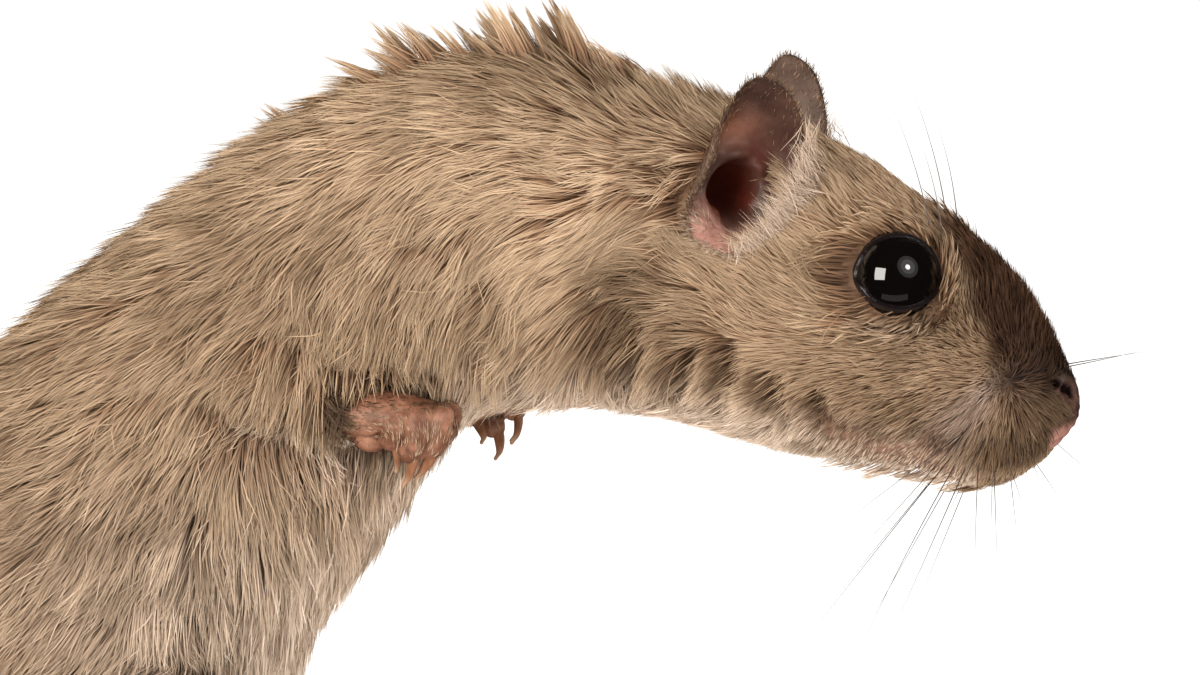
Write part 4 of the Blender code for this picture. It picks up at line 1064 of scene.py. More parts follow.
def grow_coat(skin):
    """Hair over the whole skin, in locks that lie along the body."""
    draw = np.random.default_rng(21)
    part, level = skin.part, skin.level
    bare = bare_share(skin.points, skin.normals, part)
    density = by_part(PART_DENSITY, DENSITIES, part, level)
    density = np.where(part == TAIL, TAIL_DENSITY, density) * (1 - bare)
    density *= 1 - 0.3 * parting_share(skin.points)
    density *= (1 - 0.5 * jaw_share(skin.points)) * (1 - 0.6 * chin_share(skin.points, skin.normals))
    root, normal, at = skin.roots(density, draw)
    part, level = part[at], level[at]
    count = len(root)
    lie = skin.lie[at]
    way, stand = lie_of(root, normal, part, lie)
    tail, trunk = part == TAIL, part == TRUNK
    brush = smooth_step(0.45, 0.9, level) * tail
    length = by_part(PART_LENGTH, LENGTHS, part, level)
    length = np.where(tail, 2.4 + 5.5 * brush, length)
    depth = by_part(PART_DEPTH, DEPTHS, part, level)
    depth = np.where(tail, 0.75 + 0.5 * brush, np.where(part == ARM, 2.2 - 1.5 * level, depth))
    width = by_part(PART_WIDTH, WIDTHS, part, level)
    width = np.where(tail, TAIL_HAIR_WIDTH, width)
    wrist = np.where(part == ARM, 1 - 0.6 * smooth_step(0.3, 0.9, level), 1)
    length = length * face_share(root, trunk) * wrist
    step = way * (length * 0.7)[:, None]
    further = lie_of(root, normal, part, lie, step)[0]
    start, way = unit(way * 0.7 + further * 0.3), unit(way * 0.3 + further * 0.7)
    guard, stray = draw.uniform(size=(2, count)) < ((0.25,), (0.05,))
    longer, shorter = draw.uniform(0.95, 1.18, count), draw.uniform(0.6, 1.0, count)
    length = length * np.where(guard, longer, shorter) * (1 - 0.25 * parting_share(root))
    length *= 1 - 0.6 * smooth_step(0.2, 0.8, -normal[:, 2]) * smooth_step(14, 15.5, level) * trunk
    pleat = np.clip(pleat_share(root, 1.2, 1.6), 0, 1)
    length *= (1 - 0.45 * chin_share(root, normal)) * (1 - 0.25 * pleat)
    side = np.cross(normal, way)
    calm = 1 - 0.5 * smooth_step(13.5, 15.5, level) * trunk
    turn = waves(root, 9.0, 1) * 0.12 + waves(root, 3.2, 2) * 0.14
    turn = turn + draw.normal(0, 0.12, count) * (1 + 2 * stray)
    gap = np.hypot(root[:, 0] - WHORL[0], root[:, 2] - WHORL[1])
    turn = turn * calm + draw.normal(0, 0.7, count) * np.exp(-((gap / 1.3) ** 2)) * trunk
    way = unit(way * np.cos(turn)[:, None] + side * np.sin(turn)[:, None])
    reach = root + way * (length * 0.92)[:, None]
    ground, tip_normal = skin.nearest(reach)
    uneven = 1 + 0.14 * waves(root, 4.0, 3) + draw.normal(0, 0.09, count)
    height = depth * stand * np.where(guard, 1.12, 0.9) * uneven
    height = height * (0.4 + 0.6 * face_share(root, trunk)) * (1 + 0.2 * stray)
    height = height * (1 - smooth_step(0.1, 0.7, -normal[:, 2]) * np.where(level < 10, 0.3, 0.45))
    tip = ground + tip_normal * np.maximum(height, 0.05)[:, None]
    lift = np.clip(height / length * 1.7, 0.12, 0.75)
    rising = start * np.cos(lift)[:, None] + normal * np.sin(lift)[:, None]
    bend = root + rising * (length * 0.5)[:, None]
    tone = 0.35 * waves(root, 14.0, 8) + draw.normal(0, 0.34, count) * (0.75 + 0.25 * calm)
    tone = tone + tone_of(root, normal) + 1.0 * stray - 1.5 * brush
    hairs = Hairs(
        root=root, bend=bend, tip=tip, normal=normal, tip_normal=tip_normal, part=part, level=level,
        width=width * np.where(guard, 1.15, 0.9), tone=tone,
        roll=draw.uniform(-1.0, 1.0, count) * (1 + 0.5 * (normal[:, 2] < 0)),
        marks=marks_of(root, normal), patch=skin.patch[at],
    )
    loose = np.where(trunk, along(LOCKS, level), 0.8)
    loose = np.where(tail | (part == PAW) | (part == FOOT), 0.2, loose)
    loose = loose * face_share(root, trunk) ** 2
    locks = gather(hairs, LOCK_SIZE, LOCK_PULL, draw, loose)
    lock_tone, lock_turn = draw.normal(0, 0.4, count), draw.normal(0, 0.16, count) * calm
    hairs.tone = hairs.tone + lock_tone[locks]
    swing = np.cross(normal, way) * (lock_turn[locks] * length * loose)[:, None]
    hairs.tip = hairs.tip + swing
    hairs.bend = hairs.bend + swing * 0.3
    wisps = gather(hairs, WISP_SIZE, WISP_PULL, draw, loose)
    hairs.tone = hairs.tone + draw.normal(0, 0.25, count)[wisps]
    hairs.tip = hairs.tip + draw.normal(0, 0.05, (count, 3)) * length[:, None] * 0.5
    cut_at_partings(hairs, height, draw)
    for label in ("bend", "tip"):
        getattr(hairs, label)[:, 2] = np.maximum(getattr(hairs, label)[:, 2], HAIR_OVER_FLOOR)
    return hairs


def cut_at_partings(hairs, height, draw):
    """Ends hairs, with their tips raised, where they would cross a parting or the edge of a pleat."""
    count = len(hairs.root)
    ragged = draw.uniform(0.3, 0.8, count) + (draw.uniform(size=count) > 0.85)
    keep = np.ones(count)
    for share in (1.0, 0.85, 0.7, 0.55, 0.42, 0.3):
        crossing = parting_share(hairs.root + (hairs.tip - hairs.root) * share) > ragged
        keep = np.where(crossing, 0.95 * share, keep)
    for label, lift in (("bend", 0.35), ("tip", 0.9)):
        place = hairs.root + (getattr(hairs, label) - hairs.root) * keep[:, None]
        setattr(hairs, label, place + hairs.tip_normal * (height * (1 - keep) * lift)[:, None])


def withers_tufts():
    """Blades of hair that stand up, each of a few locks with ends of unlike length."""
    draw = np.random.default_rng(5)
    locks = []
    for x, z, tip_x, tip_z, y, wide, count, tone in TUFTS:
        root, tip = np.array((x, y, z - 1.2)), np.array((tip_x, y * 1.1, tip_z))
        heads = draw.normal(0, 1, (4, 3)) * (0.9 * wide, 0.9 * wide, 0.5 * wide)
        reach = draw.uniform(0.78, 1.06, 4)
        pick = draw.integers(0, 4, count)
        base = root + heads[pick] * 0.8 + draw.normal(0, 1, (count, 3)) * wide * 0.55
        end = root + (tip - root) * reach[pick, None] + heads[pick] + (base - root - heads[pick]) * 0.15
        end = base + (end - base) * draw.uniform(0.7, 1.03, count)[:, None]
        bend = (base + end) / 2 + (0.35, 0, 0.25) + draw.normal(0, 0.08, (count, 3))
        normal = np.repeat(unit(np.array((0.2, -0.8 if y < 0 else 0.8, 0.6)))[None], count, 0)
        hairs = loose_hairs(base, bend, end, normal, 0.12, tone + draw.normal(0, 0.4, count), draw)
        hairs.patch = 0.5 + (base[:, :2] - root[:2]) * 0.01 + (x - 50) * 0.004
        locks.append(hairs)
    return locks


def ribbons(hairs, stations, profile):
    """Points, triangles, share along, normals and patch places of flat hairs that end in a point."""
    s = np.array(stations)[None, :, None]
    root, bend, tip = (getattr(hairs, label)[:, None] for label in ("root", "bend", "tip"))
    centre = (1 - s) ** 2 * root + 2 * s * (1 - s) * bend + s**2 * tip
    ahead = unit((1 - s) * (bend - root) + s * (tip - bend))
    normal = unit(hairs.normal[:, None] * (1 - s) + hairs.tip_normal[:, None] * s)
    side = unit(np.cross(ahead, normal))
    up = np.cross(side, ahead)
    c, k = np.cos(hairs.roll)[:, None, None], np.sin(hairs.roll)[:, None, None]
    wide, face = side * c + up * k, up * c - side * k
    breadth = hairs.width[:, None, None] * np.array(profile)[None, :, None] / 2
    pairs = np.stack([centre - wide * breadth, centre + wide * breadth], 2)
    count, rows = len(hairs.root), len(stations)
    points = np.concatenate([pairs[:, :-1].reshape(count, -1, 3), centre[:, -1:]], 1)
    own = 0.4 + 0.5 * smooth_step(0.0, 0.6, -normal[..., 2:])
    shade = unit(face * own + normal * (1 - own))
    shade = np.concatenate([np.repeat(shade[:, :-1], 2, 1), shade[:, -1:]], 1)
    share = np.append(np.repeat(stations[:-1], 2), 1.0)
    corner = []
    for r in range(rows - 2):
        a = 2 * r
        corner += [(a, a + 1, a + 3), (a, a + 3, a + 2)]
    a = 2 * (rows - 2)
    corner.append((a, a + 1, a + 2))
    each = points.shape[1]
    triangles = (np.arange(count) * each)[:, None, None] + np.array(corner)[None]
    edge = np.append(np.tile((0.0, 1.0), rows - 1), 0.5)
    place = hairs.patch[:, None] + np.stack([edge, share], -1)[None] * TUFT_PATCH
    points, triangles, shade = (entry.reshape(-1, 3) for entry in (points, triangles, shade))
    return points, triangles, np.tile(share, count), shade, place.reshape(-1, 2), each


# Where along a hair its points lie, and how wide it is there.
LONG = ((0.0, 0.36, 0.72, 1.0), (0.8, 1.0, 0.72, 0.0))
SHORT = ((0.0, 0.55, 1.0), (0.9, 0.9, 0.0))


def coat_piece(name, hairs, material, shape=LONG):
    """One piece of the coat, as a mesh of its own."""
    points, triangles, share, normals, place, each = ribbons(hairs, *shape)
    tone, marks = np.repeat(hairs.tone, each), np.repeat(hairs.marks, each, 0)
    layers = (("share", share), ("tone", tone), ("marks", marks))
    made = fine_mesh(name, points, triangles, layers, normals, place)
    return dress(made, material)


def join_hairs(parts):
    return Hairs(**{label: np.concatenate([getattr(p, label) for p in parts]) for label in Hairs.LABELS})


# Pale hairs that lean over the front and lower edge of an ear: roots and tips, across, up and out
# of its opening.
FRINGE_ROOTS = (
    (4.8, 5.0, 0.0), (5.1, 3.4, 0.2), (5.2, 1.8, 0.5), (5.1, 0.4, 0.8), (4.8, -1.0, 1.1),
    (4.0, -2.4, 1.3),
    (2.4, -3.4, 1.4), (0.2, -3.7, 1.4),
)
FRINGE_TIPS = (
    (4.3, 7.2, 0.3), (4.0, 5.8, 0.8), (3.4, 4.2, 1.4), (2.5, 2.7, 1.9), (1.7, 1.4, 2.2), (1.0, 0.1, 2.4),
    (0.2, -1.2, 2.4), (-1.2, -2.1, 2.3),
)


EAR_HAIRS = 5200
FRINGE_HAIRS, FRINGE_REACH = {-1: 1250, 1: 600}, {-1: 1.2, 1: 0.8}


def ear_hairs(made, side):
    """Fine hair on the back and the rim, sparse hair in the cup, and the fringe at the front."""
    draw = np.random.default_rng(31 + side)
    points, normals = vectors_of(made.data, "co") / MM, vectors_of(made.data, "normal")
    behind = np.empty(len(points), np.float32)
    made.data.attributes["behind"].data.foreach_get("value", behind)
    across, high = ear_plane(points, side)[:2]
    share = pit_depth(across, high)[1]
    rim = np.exp(-((share / 0.09) ** 2))
    lobe = np.exp(-((across + 3.0) / 1.6) ** 2 - ((high + 0.6) / 1.5) ** 2) * (1 - behind)
    weight = rim * (1 - 0.6 * lobe) + 0.5 * behind * (share < 0.6)
    weight = weight + 0.14 * (1 - behind) * (share < 0.6) + 0.2 * lobe
    count = EAR_HAIRS
    pick = draw.choice(len(points), count, p=weight / weight.sum())
    axes = np.array(ear_axes()) * mirrored(side)
    outward = np.stack([across[pick] - CANAL_MOUTH[0], high[pick] - CANAL_MOUTH[1] + 3.0, 0 * pick], -1)
    normal = normals[pick]
    way = unit(outward) @ axes + draw.normal(0, 0.25, (count, 3))
    way = flat_part(way, normal)
    length = draw.uniform(0.4, 0.85, count) * (0.85 + 1.1 * lobe[pick])
    lift = draw.uniform(0.1, 0.45, count)[:, None]
    root = points[pick] + draw.normal(0, 0.1, (count, 3)) - normal * 0.1
    tip = root + (way * np.cos(lift) + normal * np.sin(lift)) * length[:, None]
    pale = np.clip(lobe[pick], 0, 1)
    upper = smooth_step(-2.6, -0.6, high[pick])
    dark = (0.8 * rim[pick] + 0.5 * (1 - rim[pick])) * (1 - pale) * upper
    dark = dark * (draw.uniform(size=count) > 0.25)
    bend = (root + tip) / 2 + normal * 0.08
    fuzz = loose_hairs(root, bend, tip, normal, 0.045, draw.normal(-0.3, 0.5, count), draw)
    fuzz.marks = np.stack([dark, np.maximum(pale, 1 - upper) * 0.7, 0 * pale], -1)
    count = FRINGE_HAIRS[side]
    t = (len(FRINGE_ROOTS) - 1) * draw.uniform(0, 1, count) ** 0.7
    root = spline(FRINGE_ROOTS, t) + draw.normal(0, 1, (count, 3)) * (0.75, 0.75, 0.2)
    root = root + (0.3, -0.1, -0.5)
    share = draw.uniform(0.4, FRINGE_REACH[side], count)[:, None]
    sway = waves(np.stack([t * 3, t, t], -1), 1.6, 9)[:, None]
    aim = spline(FRINGE_TIPS, t) + sway * (0.35, 0.3, 0.2)
    tip = root + (aim + draw.normal(0, 1, (count, 3)) * (0.4, 0.4, 0.3) - root) * share
    bend = (root + tip) / 2 + (0.25, -0.1, 0.3)
    root, bend, tip = (from_ear(place, side) for place in (root, bend, tip))
    normal = np.repeat(axes[2:], count, 0)
    fringe = loose_hairs(root, bend, tip, normal, 0.06, draw.normal(0.5, 0.7, count), draw)
    fringe.marks = np.stack([0 * t, 0.6 + 0 * t, 0.3 + 0 * t], -1)
    return [fuzz, fringe]


def loose_hairs(root, bend, tip, normal, width, tone, draw):
    """Hairs outside the skin's own coat; their patches lie in the ear's part of the unwrap."""
    count = len(root)
    left, bottom, right, top = PATCHES[EAR]
    low, high = root.min(0), root.max(0)
    place = (root - low) / (high - low)
    patch = np.stack([left + (right - left) * place[:, 0], bottom + (top - bottom) * place[:, 2]], -1)
    return Hairs(
        root=root, bend=bend, tip=tip, normal=normal, tip_normal=normal, width=np.full(count, width),
        roll=draw.uniform(-1.0, 1.0, count), tone=tone, marks=np.zeros((count, 3)), patch=patch,
        part=np.zeros(count, int), level=np.full(count, 15.0),
    )


# Eyes, lids, ears, nose, claws and whiskers.

def make_eyeball(word, side, material):
    """The ball of the eye; its poles lie along the gaze."""
    rows, sides = 40, 64
    lie = np.pi * np.arange(1, rows) / rows
    turn = full_turn(sides)
    ahead, up, out = eye_frame(side)
    rings = np.cos(lie)[:, None, None] * out + (np.sin(lie)[:, None] * np.cos(turn))[..., None] * ahead
    rings = (rings + (np.sin(lie)[:, None] * np.sin(turn))[..., None] * up) * EYE_RADIUS
    centre = EYE * mirrored(side)
    poles = [centre + out * EYE_RADIUS, centre - out * EYE_RADIUS]
    points = np.concatenate([(rings + centre).reshape(-1, 3), poles])
    made = new_object(f"eyeball_{word}", points, closed_faces(rows - 1, sides))
    turn_out(made)
    made.data.shade_smooth()
    return dress(made, material, [f"eye_{word}"])


def turn_out(made):
    """Turns the faces of a closed piece outward."""
    shape = bmesh.new()
    shape.from_mesh(made.data)
    bmesh.ops.recalc_face_normals(shape, faces=shape.faces)
    shape.to_mesh(made.data)
    shape.free()


# A lid from its wet edge to where it sinks into the skin: degrees beyond the opening, height over
# the ball.
LID_ROWS = (
    (-5, -0.12), (-1.5, 0.03), (0, 0.12), (2, 0.18), (5, 0.18), (9, 0.06), (15, -0.2), (26, -0.7),
    (40, -1.4),
)


def make_lids(word, side, material):
    """Both lids in one ring, with the corners drawn out to points."""
    steps = 120
    turn = full_turn(steps)
    wide, high = math.radians(58.5), math.radians(50)
    opening = 1 / np.sqrt((np.cos(turn) / wide) ** 2 + (np.sin(turn) / high) ** 2)
    for corner, extra, spread in ((math.pi, 7, 0.24), (math.radians(-24), 5, 0.3)):
        gap = np.angle(np.exp(1j * (turn - corner)))
        opening = opening + math.radians(extra) * np.exp(-((gap / spread) ** 2))
    ahead, up, out = eye_frame(side)
    spoke = np.cos(turn)[:, None] * ahead + np.sin(turn)[:, None] * up
    rings = []
    for beyond, height in LID_ROWS:
        a = (opening + math.radians(beyond))[:, None]
        fold = 0.05 * np.sin(turn * 2 + 0.6) * (beyond > 6)
        reach = (EYE_RADIUS + height + fold)[:, None]
        rings.append(EYE * mirrored(side) + (out * np.cos(a) + spoke * np.sin(a)) * reach)
    points = np.concatenate(rings)
    made = new_object(f"lids_{word}", points, ring_faces(len(rings), steps).tolist())
    wet = np.repeat([1.0, 1.0, 1.0, 0.7, 0.2, 0.0, 0.0, 0.0, 0.0], steps)
    mark(made.data, "wet", wet)
    face_out(made, EYE * mirrored(side))
    settle(made, "SUBSURF")
    made.data.shade_smooth()
    return dress(made, material)


def settle(made, kind):
    """Adds a modifier of this kind and keeps the mesh that it makes."""
    made.modifiers.new("settle", kind)
    mesh = bpy.data.meshes.new_from_object(made.evaluated_get(bpy.context.evaluated_depsgraph_get()))
    made.modifiers.clear()
    made.data = mesh


def face_out(made, centre):
    """Turns an open sheet so that its faces look away from a centre."""
    mesh = made.data
    lean = sum((p.center / MM - Vector(centre)).dot(p.normal) for p in mesh.polygons)
    if lean < 0:
        mesh.flip_normals()


def make_ear(word, side, material):
    """A cup that opens into the canal; its rings run from the bottom of the canal over the rim to
    the back."""
    sides = 112
    rim = closed_spline(EAR_RIM, np.arange(sides) / sides * len(EAR_RIM))
    around = np.arctan2(rim[:, 1] - CANAL_MOUTH[1], rim[:, 0] - CANAL_MOUTH[0])
    rows = []
    for size, depth in ((0.35, 5.2), (0.55, 4.0), (0.72, 2.6), (0.84, 1.4), (0.93, 0.6)):
        rows.append((2.0 - size, depth, 0.0))
    rows += [(share, 0.0, 0.0) for share in np.linspace(1, 0, 26) ** 1.15]
    for share in np.linspace(0.012, 1, 22):
        wall = 0.2 + 0.45 * smooth_step(0, 0.25, share) + 2.2 * smooth_step(0.4, 1, share)
        rows.append((share, wall, 1.0))
    for size, depth in ((0.93, 0.5), (0.8, 1.8), (0.6, 3.7), (0.4, 5.2)):
        rows.append((2.0 - size, depth + 2.85, 1.0))
    rings = []
    for share, sink, back in rows:
        ring = cup_point(rim, around, share, 1 - back)
        ring[:, 2] -= sink
        rings.append(ring)
    local = np.array(rings).reshape(-1, 3)
    behind = np.append(np.repeat([row[2] for row in rows], sides), (0, 1))
    first, last = local[:sides].mean(0) - (0, 0, 0.4), local[-sides:].mean(0) - (0, 0, 0.8)
    local = np.concatenate([local, [first, last]])
    made = new_object(f"ear_cup_{word}", from_ear(local, side), closed_faces(len(rows), sides))
    turn_out(made)
    a, b = local.T[:2]
    inside = 1 - behind
    gap = np.hypot((a - CANAL_MOUTH[0]) / CANAL_SIZE[0], (b - CANAL_MOUTH[1]) / CANAL_SIZE[1])
    canal = (1 - smooth_step(0.75, 1.1, gap)) * inside * (1 - 0.4 * smooth_step(1.2, -1.2, b))
    # A painted shadow below the fold, right of the lit patch, carried in the canal's mark.
    shade = np.exp(-((a - 2.1) / 1.4) ** 2 - ((b - 4.2) / 1.6) ** 2) * inside
    canal = np.maximum(canal, 0.6 * shade)
    # Painted light: a lit patch high in the cup.
    glow = np.exp(-((a + 0.1) / 1.7) ** 2 - ((b - 6.2) / 1.35) ** 2) * inside
    lobes = 1.4 * np.exp(-((a + 2.6) / 2.2) ** 2 - ((b + 1.1) / 2.0) ** 2)
    lobes = lobes + np.exp(-((a - 0.6) / 3.6) ** 2 - ((b + 2.5) / 1.0) ** 2)
    lobes = lobes * inside + 0.8 * (1 - smooth_step(2.0, 7.5, b)) * behind
    mark(made.data, "marks", np.stack([canal, np.clip(glow, 0, 1), np.clip(lobes, 0, 1)], -1))
    mark(made.data, "behind", behind)
    made.data.shade_smooth()
    return dress(made, material, [f"ear_{word}"])


def make_nose(material):
    """The bare tip of the nose: fine skin with nostrils, a groove between them and creases."""
    level, sides = np.linspace(20.6, LAST_SECTION, 64), 120
    turn = full_turn(sides)
    rise = -along(DEPTHS, level) - 0.2 + 0.27 * smooth_step(20.8, 21.8, level)
    rings = trunk_point(level[:, None], turn[None], rise[:, None])
    last = np.array((NOSE_TIP[0] - 0.12, 0, NOSE_TIP[1]))
    edge = rings[-1]
    cap = []
    for share in (0.25, 0.5, 0.75, 0.92):
        ring = edge + (last - edge) * share
        ring[:, 0] = edge[:, 0] + (last[0] - edge[:, 0]) * math.sin(share * math.pi / 2)
        cap.append(ring)
    rings = np.concatenate([rings, cap])
    local = rings.reshape(-1, 3)
    local = np.concatenate([local, [last]])
    slot = nostril_share(local)
    groove = np.exp(-((local[:, 1] / 0.16) ** 2)) * smooth_step(46.8, 45.6, local[:, 2])
    creases = np.sin(local[:, 2] * 9 + 1.2 * np.sin(local[:, 1] * 2.1))
    creases = creases * 0.03 * smooth_step(46, 44.8, local[:, 2])
    inward = unit(local - NOSE_MIDDLE)
    local = local - inward * (slot * 0.9 + groove * 0.28 - creases)[:, None]
    faces = ring_faces(len(rings), sides).tolist() + last_fan(len(rings), sides, len(rings) * sides)
    made = new_object("nose_skin", local, faces)
    face_out(made, NOSE_MIDDLE)
    edge = local[:, 2] + waves(local, 1.2, 12) * 0.2
    pink = smooth_step(44.1, 43.2, edge) * smooth_step(93.5, 95.5, local[:, 0])
    dark = smooth_step(46.4, 47.4, local[:, 2])
    mark(made.data, "marks", np.stack([slot, pink, dark], -1))
    made.data.shade_smooth()
    return dress(made, material)


def make_claw(node, tip_centre, out, down, length, base_radius, material):
    """A curved horn claw, its root inside the toe."""
    bends = ((-0.25, -0.04), (0.05, 0.0), (0.4, 0.06), (0.78, 0.3), (1.0, 0.7))
    path = [tip_centre + out * length * s + down * length * d for s, d in bends]
    radii = [base_radius * r for r in (0.9, 1.0, 0.92, 0.6, 0.12)]
    form = tube_form(PAW, path, [(r * 0.8, r * 1.15) for r in radii], 14, 26)
    lowest = form.points[:, 2].min()
    form.points[:, 2] += max(0.0, 0.1 - lowest)
    made = new_object(f"horn_{node[5:]}", form.points, form.faces)
    turn_out(made)
    mark(made.data, "share", form.level)
    made.data.shade_smooth()
    return dress(made, material, [node])


def make_claws(material):
    for word, side in SIDES.items():
        for finger in range(len(FINGERS)):
            path = finger_path(side, finger)
            way = unit(path[-1] - path[-2])
            name = f"claw_fore_{word}_{finger + 1}"
            down = np.array((CLAW_BACK[side], 0, -0.1))
            make_claw(name, path[-1], way, down, *FORE_CLAW, material)
        for toe in range(len(TOES)):
            start, end = toe_ends(side, toe)
            name = f"claw_hind_{word}_{toe + 1}"
            make_claw(name, end, unit(end - start), np.array((0, 0, -0.5)), *HIND_CLAW, material)


# Whiskers of one side: x and z where each leaves the pad, the way it goes, its length and its sag.
WHISKERS = (
    (88.4, 41.9, (-0.62, 0.24, -0.72), 19.5, -0.08), (88.9, 41.6, (-0.47, 0.22, -0.85), 19.0, -0.05),
    (89.6, 41.3, (-0.38, 0.26, -0.88), 15.5, -0.05), (90.4, 41.5, (-0.06, 0.30, -0.95), 9.5, 0.0),
    (91.8, 41.2, (0.06, 0.28, -0.95), 9.5, 0.0), (93.0, 41.8, (0.35, 0.40, -0.85), 5.5, 0.0),
    (94.6, 43.2, (0.62, 0.40, -0.68), 7.5, 0.0), (96.2, 48.2, (0.96, 0.16, 0.20), 7.0, 0.01),
    (90.8, 44.6, (-0.62, 0.68, -0.42), 15.0, -0.06), (89.6, 43.8, (-0.52, 0.60, -0.62), 14.0, -0.06),
    (91.8, 44.2, (-0.30, 0.66, -0.66), 10.0, -0.04), (93.6, 44.6, (0.30, 0.66, -0.62), 7.0, 0.0),
)
# Brow hairs: x, y and z under the root, how far each leans along x, and its length.
BROW_HAIRS = ((86.6, 6.0, 60.2, -0.16, 9.0), (87.5, 5.6, 59.8, -0.10, 7.0))
WHISKER_RADIUS = 0.05


def make_whiskers(skin, material):
    """Thin bristles of five sides, from the pads and over the eyes."""
    paths = []
    draw = np.random.default_rng(3)
    steps = np.linspace(0, 1, 10)
    for side in SIDES.values():
        for x, z, way, length, droop in WHISKERS:
            beside = (x, (8.0 if x < 96 else 1.5) * side, z)
            start = np.array(skin.tree.find_nearest(beside)[0]) - (0, 0.3 * side, 0)
            way = unit(np.array(way) * mirrored(side) + draw.normal(0, 0.02, 3))
            sag = np.array((0.5 * droop, 0, droop)) + draw.normal(0, 0.02, 3)
            paths.append([start + way * length * s + sag * length * s * s for s in steps])
        for x, y, z, lean, length in BROW_HAIRS:
            start = np.array((x, y * side, z - 1.2))
            way = unit(np.array((lean, 0.12 * side, 1.0)))
            sag = np.array((-0.12, 0, 0))
            paths.append([start + way * length * s + sag * length * s * s for s in steps])
    points, faces = [], []
    rows, sides = 14, 5
    for path in paths:
        rings = tube_rings(path, [WHISKER_RADIUS] * len(steps), sides, rows)[0]
        size = np.linspace(1, 0.12, rows)[:, None, None]
        middle = rings.mean(1, keepdims=True)
        rings = middle + unit(rings - middle) * WHISKER_RADIUS * size
        base = len(points) * rows * sides
        points.append(rings.reshape(-1, 3))
        faces += (ring_faces(rows, sides) + base).tolist()
        end = base + (rows - 1) * sides
        faces += [tuple(base + k for k in range(sides))[::-1], tuple(end + k for k in range(sides))]
    made = new_object("whiskers", np.concatenate(points), faces)
    turn_out(made)
    share = np.repeat(np.linspace(0, 1, rows), sides)
    brows = np.tile(0.7 + 0.3 * share, len(BROW_HAIRS))
    mark(made.data, "share", np.tile(np.append(np.tile(share, len(WHISKERS)), brows), 2))
    made.data.shade_smooth()
    return dress(made, material)


# Materials.

def add(tree, kind, **settings):
    made = tree.nodes.new(kind)
    for label, value in settings.items():
        setattr(made, label, value)
    return made


def plug(tree, value, socket):
    if isinstance(value, bpy.types.NodeSocket):
        tree.links.new(value, socket)
    else:
        socket.default_value = value


def reckon(tree, operation, *values):
    made = add(tree, "ShaderNodeMath", operation=operation)
    for value, socket in zip(values, made.inputs):
        plug(tree, value, socket)
    return made.outputs[0]


def ramp(tree, value, low, high):
    """The share of the way from low to high, with soft ends."""
    made = add(tree, "ShaderNodeMapRange", interpolation_type="SMOOTHSTEP")
    for socket, entry in (("Value", value), ("From Min", low), ("From Max", high)):
        plug(tree, entry, made.inputs[socket])
    return made.outputs[0]


def blend(tree, share, first, second, kind="MIX"):
    made = add(tree, "ShaderNodeMix", data_type="RGBA", blend_type=kind)
    for socket, entry in ((made.inputs[0], share), (made.inputs[6], first), (made.inputs[7], second)):
        plug(tree, entry, socket)
    return made.outputs[2]


def read(tree, label, vector=False):
    made = add(tree, "ShaderNodeAttribute", attribute_name=label)
    return made.outputs["Vector" if vector else "Fac"]


def parts_of(tree, vector):
    """The three values that a vector holds."""
    made = add(tree, "ShaderNodeSeparateXYZ")
    tree.links.new(vector, made.inputs[0])
    return made.outputs


def group(name, inputs, outputs):
    """An empty shader group with named sockets, its tree and the sockets to read and fill."""
    tree = bpy.data.node_groups.new(name, "ShaderNodeTree")
    for way, sockets in (("INPUT", inputs), ("OUTPUT", outputs)):
        for label, kind in sockets:
            tree.interface.new_socket(label, in_out=way, socket_type=kind)
    return tree, add(tree, "NodeGroupInput").outputs, add(tree, "NodeGroupOutput").inputs


# Colours of the coat from the root of a hair to its tip.
COAT_ROOT = (0.15, 0.078, 0.043, 1)
COAT_MIDDLE = (0.28, 0.156, 0.084, 1)
COAT_TIP = (0.45, 0.315, 0.195, 1)


def coat_colour_group():
    """The colour of a hair, or of the skin under it, from where it is on the animal and along the
    hair."""
    tree, given, out = group(
        "coat colour",
        (("Share", "NodeSocketFloat"), ("Tone", "NodeSocketFloat"), ("Marks", "NodeSocketVector")),
        (("Colour", "NodeSocketColor"),),
    )
    mask, under, grey = parts_of(tree, given["Marks"])
    share = given["Share"]
    colour = blend(tree, ramp(tree, share, 0.0, 0.45), COAT_ROOT, COAT_MIDDLE)
    colour = blend(tree, ramp(tree, share, 0.35, 0.95), colour, COAT_TIP)
    pale = blend(tree, ramp(tree, share, 0.0, 0.7), (0.34, 0.24, 0.165, 1), (0.70, 0.555, 0.43, 1))
    colour = blend(tree, under, colour, pale)
    ashy = blend(tree, ramp(tree, share, 0.0, 0.7), (0.15, 0.095, 0.07, 1), (0.46, 0.335, 0.26, 1))
    colour = blend(tree, grey, colour, ashy)
    # The dark colour of the mask, also used as painted shade in the recess over the hand.
    dark = blend(tree, ramp(tree, share, 0.3, 1.0), (0.028, 0.013, 0.007, 1), (0.105, 0.047, 0.021, 1))
    colour = blend(tree, mask, colour, dark)
    # The tone lightens or darkens the colour: random differences, and also painted light and shade at
    # the pleats, the partings and the recess over the hand.
    shift = reckon(tree, "MULTIPLY_ADD", given["Tone"], 0.28, 1.0)
    shift = reckon(tree, "MAXIMUM", shift, 0.3)
    tint = add(tree, "ShaderNodeCombineXYZ")
    for i, power in enumerate((0.9, 1.0, 1.12)):
        tree.links.new(reckon(tree, "POWER", shift, power), tint.inputs[i])
    plug(tree, blend(tree, 1.0, colour, tint.outputs[0], "MULTIPLY"), out["Colour"])
    return tree


def new_material(name, roughness, **settings):
    made = bpy.data.materials.new(name)
    made.use_nodes = True
    shader = made.node_tree.nodes["Principled BSDF"]
    shader.inputs["Roughness"].default_value = roughness
    for label, value in settings.items():
        shader.inputs[label.replace("_", " ")].default_value = value
    return made, made.node_tree, shader


def place_group(tree, kind, **values):
    made = add(tree, "ShaderNodeGroup", node_tree=kind)
    for label, value in values.items():
        plug(tree, value, made.inputs[label])
    return made.outputs


